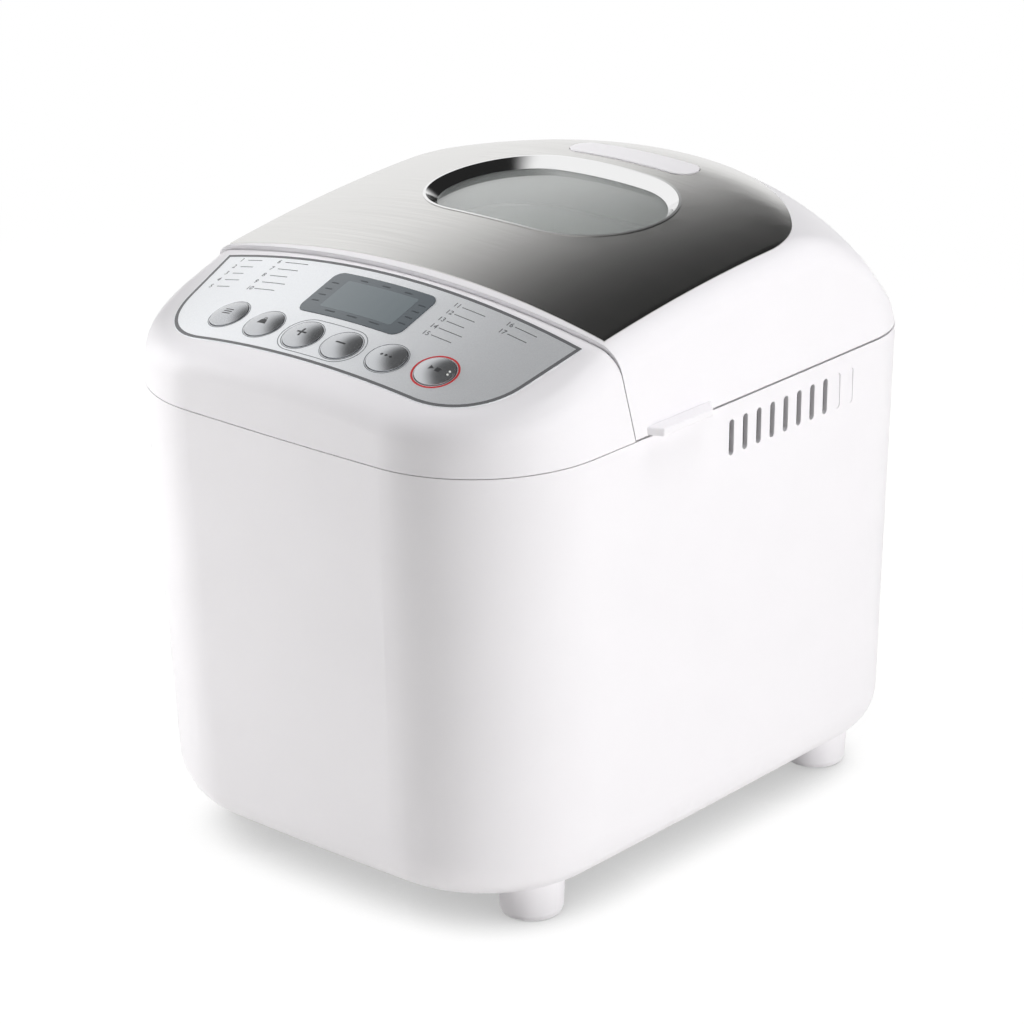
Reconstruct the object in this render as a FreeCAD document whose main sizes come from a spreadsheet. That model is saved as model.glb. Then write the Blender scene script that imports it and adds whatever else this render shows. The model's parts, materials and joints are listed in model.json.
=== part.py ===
import FreeCAD, Part
import math
import os
import re
from types import SimpleNamespace

import Sketcher
from FreeCAD import Placement, Rotation, Vector

# A household bread machine. Millimetres; X points right, Y to the rear, Z up.
# The origin lies on the table under the middle of the casing.

# Driving dimensions. Angles are in degrees.
SIZES = {
    # Clearances
    "seat_gap": 0.3, "fit_gap": 0.2, "film_gap": 0.1, "running_gap": 0.05,
    # Casing
    "body_width": 259, "body_depth": 326, "wall": 2.5, "foot_height": 17,
    "side_inset": 5.5, "front_inset": 7.4, "rear_inset": 4.4,
    "front_bow": 3.2, "side_bow": 1.2,
    "front_corner": 70, "rear_corner": 46, "bottom_round": 27,
    "foot_diameter": 33, "foot_spread": 92, "front_foot_setback": 100, "rear_foot_setback": 122,
    "foot_draft": 1.2, "foot_edge": 3, "foot_root": 8,
    "base_opening_width": 150, "base_opening_depth": 212, "base_overlap": 14, "base_thickness": 1.2,
    "vent_pitch": 10.4, "vent_width": 3.6, "vent_length": 18, "vent_drop": 8.5, "vent_start": 3,
    "vent_recess": 0.8,
    # Upper casing and lid
    "lid_rise": 75.5, "side_lean": 4, "front_lean": 4, "rear_lean": 17.6,
    "crown_radius": 540, "peak_offset": 95, "front_slope_radius": 1030, "rear_slope_radius": 80,
    "top_edge_round": 15, "rear_corner_top": 50, "shoulder_radius": 220, "panel_angle": 19, "panel_step": 2.5,
    "parting_top": 80.5, "parting_foot": 67,
    "housing_gap": 0.4, "lid_gap": 1, "parting_gap": 0.6,
    "lip_reach": 7, "lip_thickness": 4.2, "lip_front": 60, "lip_rear": 10,
    "lip_front_slant": 4.5, "lip_rear_slant": 10, "lip_round": 1,
    "skin_thickness": 0.9, "skin_proud": 0.5, "skin_width": 238, "skin_front": 75.5, "skin_rear": 128,
    "skin_rear_radius": 140, "skin_corner": 50,
    "window_width": 139, "window_depth": 86, "window_offset": 26.3, "window_corner": 42.5,
    "bevel_depth": 4.5, "bevel_slope": 1.1, "bevel_wall": 1.5, "glass_thickness": 3, "glass_ledge": 3,
    "collar_wall": 2, "cap_length": 78, "cap_depth": 18, "cap_offset": 89.5, "cap_proud": 0.9,
    "cap_thickness": 5, "liner_thickness": 1.2, "liner_corner": 14, "inner_window_width": 116,
    "inner_window_depth": 76, "inner_window_corner": 30, "bezel_proud": 0.3,
    # Hinge
    "hinge_spread": 70, "knuckle_radius": 5, "knuckle_length": 10, "bracket_length": 20,
    "hinge_inset": 1.8, "hinge_rise": 1, "hinge_pin_radius": 2, "hinge_relief": 4.5,
    "bracket_thickness": 4, "bracket_drop": 34, "hinge_room": 0.8, "knuckle_gap": 0.5,
    # Control panel
    "overlay_width": 225, "overlay_back": 82.7, "overlay_front": 148.5, "overlay_bow": 2.2,
    "overlay_taper": 12, "overlay_corner": 40, "overlay_thickness": 0.4,
    "display_width": 64, "display_depth": 30, "display_setback": 104.5, "display_corner": 5,
    "lens_thickness": 1.8, "lens_proud": 0.7, "module_width": 52, "module_depth": 26,
    "button_diameter": 19.5, "button_row": 135.3, "button_row_radius": 400,
    "button_inner": 12.3, "button_middle": 39, "button_outer": 65.5,
    "button_travel": 1.2, "button_rim": 0.9, "button_dome": 1.5, "button_flange": 1.4,
    "button_skirt": 1.4, "stem_diameter": 6, "button_play": 0.4,
    "board_depth": 19, "board_width": 176, "board_length": 50, "board_setback": 116,
    "board_thickness": 1.6, "boss_diameter": 7, "boss_inset": 7, "switch_size": 6, "switch_height": 3.5,
    # Baking chamber
    "side_room": 16, "end_room": 20, "rear_room": 33, "chamber_corner": 25, "sheet_thickness": 0.8,
    "chamber_flange": 8, "deck_thickness": 1.5, "deck_drop": 5, "deck_front_room": 6,
    "element_radius": 3.25, "element_height": 25, "element_gap": 5.75, "element_corner": 30,
    "element_bend": 10, "element_lead": 14, "element_tail": 15, "clip_width": 8, "clip_lip": 1,
    "probe_radius": 3, "probe_length": 22, "probe_height": 70, "probe_offset": 60, "probe_collar": 6.6,
    "cutout_diameter": 16, "cutout_height": 9,
    # Bread pan
    "pan_width": 168, "pan_depth": 136, "pan_height": 140, "pan_draft": 6, "pan_wall": 1.5,
    "pan_corner": 20, "rim_width": 4, "rim_thickness": 2, "pan_headroom": 30,
    "socket_radius": 58, "socket_bore": 20, "socket_thickness": 3, "socket_rim": 8,
    "ring_radius": 50.4, "ring_wall": 6, "ring_height": 9.7, "socket_clip_width": 14,
    "pan_bush_radius": 11, "pan_bush_neck": 8, "pan_bush_drop": 3, "pan_bush_rise": 3, "pan_bush_edge": 2,
    "handle_radius": 2.25, "handle_bend": 2.7, "handle_drop": 8, "handle_clearance": 5.5, "handle_corner": 12,
    "ear_thickness": 4.5, "ear_size": 14,
    # Drive
    "chassis_rise": 29.9, "chassis_thickness": 1.6, "chassis_width": 180, "leg_size": 10, "leg_spread": 36,
    "rear_leg_spread": 60, "rear_leg_offset": 58,
    "screw_radius": 1.5, "screw_head": 3.5, "screw_head_height": 2,
    "motor_diameter": 72, "motor_height": 68, "motor_offset": 30, "motor_room": 9, "motor_boss": 14,
    "motor_boss_drop": 2, "motor_bell": 14, "motor_cover": 17, "motor_edge": 3, "spindle_room": 0.5,
    "motor_shaft_radius": 3, "pulley_diameter": 110, "motor_pulley_diameter": 18, "pulley_flange": 2.5,
    "pulley_lift": 5, "belt_width": 8, "belt_thickness": 2, "belt_gap": 0.3, "pulley_cheek": 1.2,
    "drive_shaft_radius": 5, "bush_radius": 9, "bush_flange": 14, "bush_drop": 13,
    "bush_step": 1, "bush_flange_thickness": 4, "bush_rise": 1,
    "dog_radius": 16, "dog_thickness": 2.7, "post_radius": 3, "post_height": 6,
    "post_spread": 9, "wing_length": 28, "wing_width": 7, "wing_thickness": 4, "wing_gap": 1, "wing_hub": 6.8,
    "kneader_radius": 4, "kneader_rise": 17, "paddle_hub": 9, "paddle_hub_top": 7.2, "paddle_reach": 36,
    "paddle_top_reach": 26, "paddle_height": 26, "paddle_thickness": 6, "paddle_tip": 3.6, "paddle_gap": 0.6,
    # Power electronics and cord inlet
    "power_width": 70, "power_depth": 58, "power_offset": 50, "standoff_height": 6, "standoff_radius": 3,
    "transformer_width": 24, "transformer_depth": 26, "transformer_height": 22,
    "relay_width": 15, "relay_depth": 14, "relay_height": 15,
    "terminal_width": 28, "terminal_depth": 9, "terminal_height": 10,
    "capacitor_radius": 6, "capacitor_height": 20,
    "gland_radius": 8, "gland_flange": 2.5, "gland_offset": 80, "gland_height": 50,
    "gland_bore": 3.6, "gland_tail": 3, "gland_proud": 0.5,
}

# Places that follow from the driving dimensions.
LEVELS = {
    "base_top": "foot_height + wall + base_thickness",
    "chassis_under": "base_top + chassis_rise",
    "chassis_top": "chassis_under + chassis_thickness",
    "chamber_floor": "chassis_top + sheet_thickness",
    "socket_floor": "chamber_floor + socket_thickness",
    "ring_under": "socket_floor + seat_gap",
    "pan_under": "ring_under + ring_height",
    "pan_floor": "pan_under + pan_wall",
    "pan_top": "pan_under + pan_height",
    "seam_height": "pan_top + pan_headroom",
    "overall_height": "seam_height + lid_rise",
    "deck_top": "seam_height - deck_drop",
    "lid_under": "seam_height + lid_gap",
    "chamber_width": "pan_width + 2 * side_room",
    "chamber_depth": "pan_depth + 2 * end_room",
    "chamber_offset": "body_depth / 2 - rear_room - chamber_depth / 2",
    "chamber_front": "chamber_offset - chamber_depth / 2",
    "motor_setback": "body_depth / 2 - front_inset - wall - motor_diameter / 2 - motor_room",
    "handle_level": "pan_top - handle_drop",
    "handle_reach": "pan_depth / 2 + rim_width + handle_clearance",
    "handle_span": "pan_width / 2 + ear_thickness + handle_bend + 2 * seat_gap",
    "ceiling": "handle_level + handle_reach + handle_radius + 2 * liner_thickness",
    "element_level": "chamber_floor + element_height",
    "pulley_under": "base_top + pulley_lift",
    "pulley_height": "belt_width + 2 * pulley_cheek + 2 * belt_gap",
    "dog_under": "chamber_floor + socket_thickness - dog_thickness / 2",
    "dog_top": "dog_under + dog_thickness",
    "wing_under": "dog_top + wing_gap",
    "hinge_level": "seam_height + hinge_rise",
    "hinge_axis": "body_depth / 2 - hinge_inset",
    "power_level": "base_top + standoff_height",
}

doc = FreeCAD.newDocument("BreadMachine")
sizes_sheet = doc.addObject("Spreadsheet::Sheet", "Sizes")
levels_sheet = doc.addObject("Spreadsheet::Sheet", "Levels")


def formula(text):
    """An expression on the sheets, from a formula written with bare size names."""
    def prefixed(word):
        name = word.group()
        if name in SIZES:
            return "Sizes." + name
        return "Levels." + name if name in LEVELS else name
    return re.sub(r"[a-z]\w*", prefixed, text)


def fill_sheet(sheet, cells):
    """Write one named cell per row."""
    for row, (alias, text) in enumerate(cells.items(), 1):
        sheet.set("A%d" % row, alias)
        sheet.set("B%d" % row, text)
        sheet.setAlias("B%d" % row, alias)


fill_sheet(sizes_sheet, {alias: str(number) for alias, number in SIZES.items()})
fill_sheet(levels_sheet, {alias: "=" + formula(text) for alias, text in LEVELS.items()})
doc.recompute()
values = {alias: float(sizes_sheet.get(alias)) for alias in SIZES}
values.update({alias: float(levels_sheet.get(alias)) for alias in LEVELS})
s = SimpleNamespace(**values)

parts = {}


def keep(node, item):
    """Name a finished sub-part."""
    item.Label = node
    parts[node] = item
    return item


def bind(item, **formulas):
    """Tie properties to the sheets."""
    for name, text in formulas.items():
        item.setExpression(name, formula(text))


def place(item, x="0", y="0", z="0", turn=None):
    """Put an item at a point given by formulas, turned about its own origin."""
    if turn:
        item.Placement = Placement(Vector(), turn)
    for axis, text in zip("xyz", (x, y, z)):
        item.setExpression("Placement.Base." + axis, formula(text))
    return item


def box(name, width, depth, height, x, y, z):
    """A box centred on x and y, standing on z."""
    item = doc.addObject("Part::Box", name)
    bind(item, Length=width, Width=depth, Height=height)
    return place(item, "%s - (%s) / 2" % (x, width), "%s - (%s) / 2" % (y, depth), z)


ALONG_X = Rotation(Vector(0, 1, 0), 90)
ALONG_Y = Rotation(Vector(1, 0, 0), -90)


def rod(name, radius, length, x, y, z, turn=None):
    """A round bar that starts at a point and runs along Z, or along X or Y when turned."""
    item = doc.addObject("Part::Cylinder", name)
    bind(item, Radius=radius, Height=length)
    return place(item, x, y, z, turn)


def joined(name, items):
    """One solid, or one group of separate solids, from several items."""
    item = doc.addObject("Part::MultiFuse", name)
    item.Shapes = items
    return item


def less(name, base, *tools):
    """The base with the tools cut out of it."""
    item = doc.addObject("Part::Cut", name)
    item.Base = base
    item.Tool = tools[0] if len(tools) == 1 else joined(name + "_tools", list(tools))
    return item


def made(name, shape):
    """A shape worked out directly, for forms that no feature gives."""
    item = doc.addObject("Part::Feature", name)
    item.Shape = shape
    return item


def sketch_on(body, role, points):
    """A closed outline whose corners are tied to formulas, on an origin plane of the body."""
    sketch = body.newObject("Sketcher::SketchObject", body.Name + "_sketch")
    plane = [feature for feature in body.Origin.OriginFeatures if feature.Role == role][0]
    sketch.AttachmentSupport = (plane, [""])
    sketch.MapMode = "FlatFace"
    count = len(points)
    turn = 2 * math.pi / count
    start = [Vector(math.cos(turn * k), math.sin(turn * k), 0) for k in range(count)]
    for k in range(count):
        sketch.addGeometry(Part.LineSegment(start[k], start[(k + 1) % count]))
    for k in range(count):
        sketch.addConstraint(Sketcher.Constraint("Coincident", k, 2, (k + 1) % count, 1))
    for k, corner in enumerate(points):
        for kind, axis, text in zip(("DistanceX", "DistanceY"), (-2, -1), corner):
            if text == "0":
                sketch.addConstraint(Sketcher.Constraint("PointOnObject", k, 1, axis))
                continue
            index = sketch.addConstraint(Sketcher.Constraint(kind, -1, 1, k, 1, 1.0))
            sketch.setExpression("Constraints[%d]" % index, formula(text))
    return sketch


def turned(name, profile, x="0", y="0", z="0", turn=None):
    """A solid of revolution from (radius, height) corners."""
    body = doc.addObject("PartDesign::Body", name)
    sketch = sketch_on(body, "XZ_Plane", profile)
    solid = body.newObject("PartDesign::Revolution", name + "_turn")
    solid.Profile = sketch
    solid.ReferenceAxis = (sketch, ["V_Axis"])
    solid.Angle = 360
    return place(body, x, y, z, turn)


def plate(name, outline, thickness, x="0", y="0", z="0"):
    """A flat plate padded up from an outline of formula corners."""
    body = doc.addObject("PartDesign::Body", name)
    pad = body.newObject("PartDesign::Pad", name + "_pad")
    pad.Profile = sketch_on(body, "XY_Plane", outline)
    bind(pad, Length=thickness)
    return place(body, x, y, z)


def upright(edge):
    """True for an edge that climbs from the bottom to the top of a block."""
    low, high = edge.Vertexes[0].Point, edge.Vertexes[-1].Point
    return abs(high.z - low.z) > 0.5 * (high - low).Length and (high - low).Length > 0


def block(name, width, depth, height, corner, x="0", y="0", z="0", taper=None):
    """A block centred on x and y with its upright edges rounded, widening upwards by a taper angle."""
    right, back = "(%s) / 2" % width, "(%s) / 2" % depth
    left, front = "-" + right, "-" + back
    body = doc.addObject("PartDesign::Body", name)
    pad = body.newObject("PartDesign::Pad", name + "_pad")
    pad.Profile = sketch_on(body, "XY_Plane", [(left, front), (right, front), (right, back), (left, back)])
    bind(pad, Length=height)
    if taper:
        bind(pad, TaperAngle=taper)
    doc.recompute()
    rounding = body.newObject("PartDesign::Fillet", name + "_rounding")
    edges = ["Edge%d" % (k + 1) for k, edge in enumerate(pad.Shape.Edges) if upright(edge)]
    rounding.Base = (pad, edges)
    bind(rounding, Radius=corner)
    return place(body, x, y, z)


# Casing forms: drafted lofts between plan outlines, and a crowned top.

FAR = 2 * (s.body_width + s.body_depth)


def plan_outline(half_width, front, rear, level):
    """Plan outline at one height: bowed front and sides, straight rear."""
    corners = ((half_width, front), (half_width, rear), (-half_width, rear), (-half_width, front))
    right_front, right_rear, left_rear, left_front = [Vector(x, y, level) for x, y in corners]
    middle = (front + rear) / 2
    bulge = half_width + s.side_bow
    return Part.Wire([
        Part.Arc(left_front, Vector(0, front - s.front_bow, level), right_front).toShape(),
        Part.Arc(right_front, Vector(bulge, middle, level), right_rear).toShape(),
        Part.makeLine(right_rear, left_rear),
        Part.Arc(left_rear, Vector(-bulge, middle, level), left_front).toShape(),
    ])


def lower_plan(level, shrink):
    """Half width, front and rear of the lower casing at one height."""
    share = (s.seam_height - level) / (s.seam_height - s.foot_height)
    return (s.body_width / 2 - s.side_inset * share - shrink,
            -s.body_depth / 2 + s.front_inset * share + shrink,
            s.body_depth / 2 - s.rear_inset * share - shrink)


def upper_plan(level, shrink):
    """Half width, front and rear of the upper casing at one height."""
    share = (level - s.seam_height) / s.lid_rise
    return (s.body_width / 2 - s.side_lean * share - shrink,
            -s.body_depth / 2 + s.front_lean * share + shrink,
            s.body_depth / 2 - s.rear_lean * share - shrink)


def drafted(plan, bottom, top, shrink, rear_top):
    """A loft between the plan outlines at two heights, its rear corners rounder at the top than below."""
    wires = [plan_outline(*plan(level, shrink), level) for level in (bottom, top)]
    solid = Part.makeLoft(wires, True, True)
    solid = solid.makeFillet(s.front_corner - shrink,
                             [edge for edge in solid.Edges if upright(edge) and edge.CenterOfMass.y < 0])
    for side in (-1, 1):
        corner = [edge for edge in solid.Edges if upright(edge) and edge.CenterOfMass.y > 0
                  and edge.CenterOfMass.x * side > plan(top, shrink)[0] - s.rear_corner / 4][0]
        radii = (s.rear_corner - shrink, rear_top - shrink)
        if corner.Vertexes[0].Z > corner.Vertexes[-1].Z:
            radii = radii[::-1]
        solid = solid.makeFillet(*radii, [corner])
    return solid


def lower_form(shrink, rise=0.0):
    """The lower casing as a full solid, shrunk inwards by a wall."""
    bottom = s.foot_height + shrink
    solid = drafted(lower_plan, bottom, s.seam_height + rise, shrink, s.rear_corner)
    edges = [edge for edge in solid.Edges if edge.BoundBox.ZMax < bottom + 0.01]
    return solid.makeFillet(s.bottom_round - shrink, edges)


def slab(low, high):
    """A box between two corners."""
    return Part.makeBox(high.x - low.x, high.y - low.y, high.z - low.z, low)


STEEPEST = 0.75


def arc_fall(radius, run):
    """How far an arc falls over a run from its crest; beyond its steepest share it goes on straight."""
    reach = min(run, STEEPEST * radius)
    flank = math.sqrt(radius ** 2 - reach ** 2)
    return radius - flank + (run - reach) * reach / flank


def lid_height(y, x=0.0, shrink=0.0):
    """Height of the lid's top: a long front slope and a short rear one, crowned across the width.

    The line where the rear slope starts bends forward to the sides."""
    ahead = max(0.0, s.peak_offset - y)
    behind = max(0.0, y - s.peak_offset + x ** 2 / (2 * s.shoulder_radius))
    fall = arc_fall(s.front_slope_radius, ahead) + arc_fall(s.rear_slope_radius, behind)
    return s.overall_height - fall - arc_fall(s.crown_radius, abs(x)) - shrink


def spaced(first, last, count):
    """Evenly spaced numbers between two ends."""
    return [first + (last - first) * k / (count - 1) for k in range(count)]


def lid_surface(shrink):
    """The lid's top surface, lowered by a wall."""
    row_count, column_count = 28, 15
    margin = 3 * s.wall
    rows = spaced(-1.5 * s.parting_top, s.body_depth / 2 + margin, row_count)
    columns = spaced(-s.body_width / 2 - margin, s.body_width / 2 + margin, column_count)
    surface = Part.BSplineSurface()
    surface.interpolate([[Vector(x, y, lid_height(y, x, shrink)) for y in rows] for x in columns])
    return surface.toShape()


def lid_top(shrink):
    """Everything below the lid's top surface, lowered by a wall."""
    return lid_surface(shrink).extrude(Vector(0, 0, -2 * s.lid_rise))


def lid_layer(upper, lower):
    """The layer between two depths below the lid's top surface."""
    return lid_surface(lower).extrude(Vector(0, 0, lower - upper))


def panel_height(y):
    """Height of the control panel's middle line."""
    slope = math.tan(math.radians(s.panel_angle))
    return lid_height(-s.parting_top) - s.panel_step + (y + s.parting_top) * slope


def panel_top(shrink):
    """Everything below the control panel's sloped surface, lowered by a wall.

    The side profile turns about a low axis along Y, which crowns the panel across the width."""
    bottom = s.seam_height - 10 * s.wall
    drop = shrink / math.cos(math.radians(s.panel_angle))
    front, rear = -0.6 * s.body_depth, -0.5 * s.parting_foot
    corners = [Vector(0, front, bottom), Vector(0, front, panel_height(front) - drop),
               Vector(0, rear, panel_height(rear) - drop), Vector(0, rear, bottom), Vector(0, front, bottom)]
    face = Part.Face(Part.makePolygon(corners))
    pivot = Vector(0, 0, s.overall_height - s.crown_radius)
    sweep = math.degrees(math.asin(min(0.9, 0.75 * s.body_width / s.crown_radius)))
    face.rotate(pivot, Vector(0, 1, 0), -sweep)
    return face.revolve(pivot, Vector(0, 1, 0), 2 * sweep)


def rounded_upper(top, region, shrink, end):
    """The upper casing under a top surface, rounded where walls and top meet but not at its flat end."""
    walls = drafted(upper_plan, s.seam_height - s.wall, s.overall_height + s.wall, shrink, s.rear_corner_top)
    solid = walls.common(region).common(top)

    def at_end(edge):
        return all(abs(corner.Y - end) < s.film_gap for corner in edge.Vertexes)

    limit = s.seam_height + 4 * s.wall
    edges = [edge for edge in solid.Edges if min(corner.Z for corner in edge.Vertexes) > limit
             and not at_end(edge) and not (upright(edge) and edge.Length < s.wall)]
    return solid.makeFillet(s.top_edge_round - shrink, edges)


forms = {}


def lid_form(shrink):
    """The lid as a full solid, shrunk inwards by a wall."""
    if ("lid", shrink) not in forms:
        front = -1.4 * s.parting_top
        region = slab(Vector(-FAR, front, 0), Vector(FAR, FAR, FAR))
        forms["lid", shrink] = rounded_upper(lid_top(shrink), region, shrink, front)
    return forms["lid", shrink]


def front_form(shrink):
    """The control housing as a full solid, shrunk inwards by a wall."""
    if ("front", shrink) not in forms:
        rear = -0.6 * s.parting_foot
        region = slab(Vector(-FAR, -FAR, 0), Vector(FAR, rear, FAR))
        forms["front", shrink] = rounded_upper(panel_top(shrink), region, shrink, rear)
    return forms["front", shrink]


def prism_x(outline):
    """A prism across the whole width from (y, z) corners."""
    points = [Vector(-FAR, y, z) for y, z in outline]
    return Part.Face(Part.makePolygon(points + points[:1])).extrude(Vector(2 * FAR, 0, 0))


def parting_y(level):
    """Where the leaning joint between control housing and lid lies at one height."""
    top = lid_height(-s.parting_top)
    share = (level - s.seam_height) / (top - s.seam_height)
    return -s.parting_foot - (s.parting_top - s.parting_foot) * share


def beyond_parting(shift, side):
    """Everything behind (side 1) or in front of (side -1) the leaning joint, moved by a shift."""
    low, high = s.seam_height - s.lid_rise, s.overall_height + s.lid_rise
    return prism_x([(parting_y(low) + shift, low), (parting_y(high) + shift, high),
                    (side * FAR, high), (side * FAR, low)])


def above(level):
    """Everything above one height."""
    return slab(Vector(-FAR, -FAR, level), Vector(FAR, FAR, level + FAR))


def plan_prism(outline_edges):
    """An upright prism over a closed plan outline."""
    face = Part.Face(Part.Wire(Part.__sortEdges__(outline_edges)))
    face.translate(Vector(0, 0, s.seam_height))
    return face.extrude(Vector(0, 0, s.lid_rise * 2))


def rounded_rectangle(half_width, half_depth, corner, centre_y):
    """Edges of a rounded rectangle in plan, centred across the width."""
    corner = min(corner, half_width - 0.1, half_depth - 0.1)
    inner_x, inner_y = half_width - corner, half_depth - corner
    edges = []
    diagonal = corner * math.sqrt(0.5)
    for sx, sy in ((1, -1), (1, 1), (-1, 1), (-1, -1)):
        centre = Vector(sx * inner_x, centre_y + sy * inner_y, 0)
        edges.append(Part.Arc(centre + Vector(sx * corner, 0, 0),
                              centre + Vector(sx * diagonal, sy * diagonal, 0),
                              centre + Vector(0, sy * corner, 0)).toShape())
    for side in (-1, 1):
        edges.append(Part.makeLine(Vector(-inner_x, centre_y + side * half_depth, 0),
                                   Vector(inner_x, centre_y + side * half_depth, 0)))
        edges.append(Part.makeLine(Vector(side * half_width, centre_y - inner_y, 0),
                                   Vector(side * half_width, centre_y + inner_y, 0)))
    return edges


# Lower casing: shell with vents, bottom plate and feet.

def vent_slots(side):
    """Tools for one side's vent slots: eight open ones and two blind ones at the rear."""
    open_count, blind_count = 8, 2
    top = s.seam_height - s.vent_drop - s.vent_width / 2
    bottom = s.seam_height - s.vent_drop - s.vent_length + s.vent_width / 2
    tools = []
    for index in range(open_count + blind_count):
        y = s.vent_start + s.vent_pitch * index
        half = s.vent_width / 2
        outline = [Part.makeLine(Vector(0, edge, bottom), Vector(0, edge, top))
                   for edge in (y - half, y + half)]
        for level, turn in ((top, 1), (bottom, -1)):
            outline.append(Part.Arc(Vector(0, y - half, level), Vector(0, y, level + turn * half),
                                    Vector(0, y + half, level)).toShape())
        face = Part.Face(Part.Wire(Part.__sortEdges__(outline)))
        inner = lower_plan(bottom, 0)[0] + s.side_bow - s.vent_recess
        start = inner if index >= open_count else inner - 3 * s.wall
        slot = face.extrude(Vector(side * 8 * s.wall, 0, 0))
        slot.translate(Vector(side * start, 0, 0))
        tools.append(slot)
    return tools


def hinge_places():
    """Middle of each hinge across the width."""
    return (-s.hinge_spread, s.hinge_spread)


def hinge_notch(x, half_length, low, high):
    """Room for hinge barrels in a rear wall."""
    reach = s.knuckle_radius + s.hinge_room
    return slab(Vector(x - half_length, s.hinge_axis - reach, low), Vector(x + half_length, FAR, high))


def body_shell():
    """Lower casing: walls, floor flange, vents, hinge notches and the cord inlet's hole."""
    shell = lower_form(0).cut(lower_form(s.wall, s.wall))
    opening = plan_prism(rounded_rectangle(s.base_opening_width / 2, s.base_opening_depth / 2,
                                           s.foot_diameter / 2, 0))
    opening.translate(Vector(0, 0, -s.seam_height))
    tools = [opening.common(slab(Vector(-FAR, -FAR, 0), Vector(FAR, FAR, s.foot_height + 2 * s.wall)))]
    tools += vent_slots(1) + vent_slots(-1)
    half = s.bracket_length / 2 + s.knuckle_length + 2 * s.knuckle_gap
    notch_floor = s.hinge_level - s.knuckle_radius - s.hinge_room
    tools += [hinge_notch(x, half, notch_floor, FAR) for x in hinge_places()]
    tools.append(Part.makeCylinder(s.gland_radius, s.body_depth, Vector(-s.gland_offset, 0, s.gland_height),
                                   Vector(0, 1, 0)))
    return shell.cut(tools)


keep("body_shell", made("body_shell", body_shell()))

base_sheet = block("base_sheet", "base_opening_width + 2 * base_overlap",
                   "base_opening_depth + 2 * base_overlap", "base_thickness", "foot_diameter / 2",
                   z="foot_height + wall")

LEGS = [("motor_offset - leg_spread", "leg_size - motor_setback"),
        ("motor_offset + leg_spread", "leg_size - motor_setback"),
        ("-rear_leg_spread", "chamber_offset + rear_leg_offset"),
        ("rear_leg_spread", "chamber_offset + rear_leg_offset")]


def leg_rods(name, radius, length, z):
    """Round bars at the places of the chassis legs."""
    return [rod("%s_%d" % (name, k), radius, length, x, y, z) for k, (x, y) in enumerate(LEGS)]


base_holes = leg_rods("base_hole", "screw_radius", "3 * base_thickness",
                      "foot_height + wall - base_thickness")
keep("base_plate", less("base_plate", base_sheet, *base_holes))

foot_profile = [("0", "0"), ("foot_diameter / 2 - foot_draft - foot_edge", "0"),
                ("foot_diameter / 2 - foot_draft - foot_edge * 0.3", "foot_edge * 0.3"),
                ("foot_diameter / 2 - foot_draft", "foot_edge"),
                ("foot_diameter / 2", "foot_height + foot_root"), ("0", "foot_height + foot_root")]
blanks = [turned("foot_%d" % (2 * row + column), foot_profile, x, y)
          for row, y in enumerate(("-front_foot_setback", "rear_foot_setback"))
          for column, x in enumerate(("-foot_spread", "foot_spread"))]
keep("feet", less("feet", joined("foot_blanks", blanks), made("casing_block", lower_form(0))))

gland_profile = [("gland_bore", "-wall - gland_tail"), ("gland_radius - fit_gap", "-wall - gland_tail"),
                 ("gland_radius - fit_gap", "0"),
                 ("gland_radius + gland_flange", "0"), ("gland_radius + gland_flange", "gland_flange * 0.6"),
                 ("gland_radius", "gland_flange"), ("gland_bore", "gland_flange")]
gland_share = "(seam_height - gland_height + gland_radius) / (seam_height - foot_height)"
gland_y = "body_depth / 2 - rear_inset * %s + gland_proud" % gland_share
keep("cord_gland", turned("gland", gland_profile, "-gland_offset", gland_y, "gland_height", ALONG_Y))

# Control housing: hollow wedge with openings for the display and the buttons.

tilt = math.radians(s.panel_angle)
BUTTONS = [("button_menu", -s.button_outer), ("button_weight", -s.button_middle),
           ("button_plus", -s.button_inner), ("button_minus", s.button_inner),
           ("button_colour", s.button_middle), ("button_start", s.button_outer)]


def panel_point(x, y):
    """A point on the crowned panel surface."""
    radius = panel_height(y) - s.overall_height + s.crown_radius
    return Vector(x, y, s.overall_height - s.crown_radius + math.sqrt(radius ** 2 - x ** 2))


def panel_normal(x):
    """The panel's outward direction at one place across the width."""
    lean = math.asin(x / s.crown_radius)
    return Vector(math.sin(lean) * math.cos(tilt), -math.sin(tilt), math.cos(lean) * math.cos(tilt))


def button_place(x):
    """Where a button sits on the panel, with its axis along the local outward direction."""
    y = -s.button_row + x ** 2 / (2 * s.button_row_radius)
    return Placement(panel_point(x, y), Rotation(Vector(0, 0, 1), panel_normal(x)))


def along_panel(shape, place_on):
    """A copy of a shape moved from the origin to a place on the panel."""
    moved = shape.copy()
    moved.Placement = place_on
    return moved


board_frame = Placement(Vector(0, -s.board_setback, panel_height(-s.board_setback)),
                        Rotation(Vector(1, 0, 0), s.panel_angle))


def board_box(width, depth, top, bottom):
    """A box in the tilted frame of the panel, between two depths below the surface."""
    layer = Part.makeBox(width, depth, bottom - top, Vector(-width / 2, -depth / 2, -bottom))
    return along_panel(layer, board_frame)


def display_prism(grow):
    """An upright prism over the display's outline."""
    return plan_prism(rounded_rectangle(s.display_width / 2 + grow, s.display_depth / 2 + grow,
                                        s.display_corner + grow, -s.display_setback))


def button_bores():
    """Holes for the button caps through the housing and the overlay."""
    bore = Part.makeCylinder(s.button_diameter / 2 + s.button_play, 12 * s.wall, Vector(0, 0, -6 * s.wall))
    return [along_panel(bore, button_place(x)) for _, x in BUTTONS]


def board_corners():
    """Places of the board's fixing bosses in the tilted frame."""
    across, along = s.board_width / 2 - s.boss_inset, s.board_length / 2 - s.boss_inset
    return [(x, y) for x in (-across, across) for y in (-along, along)]


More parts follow.
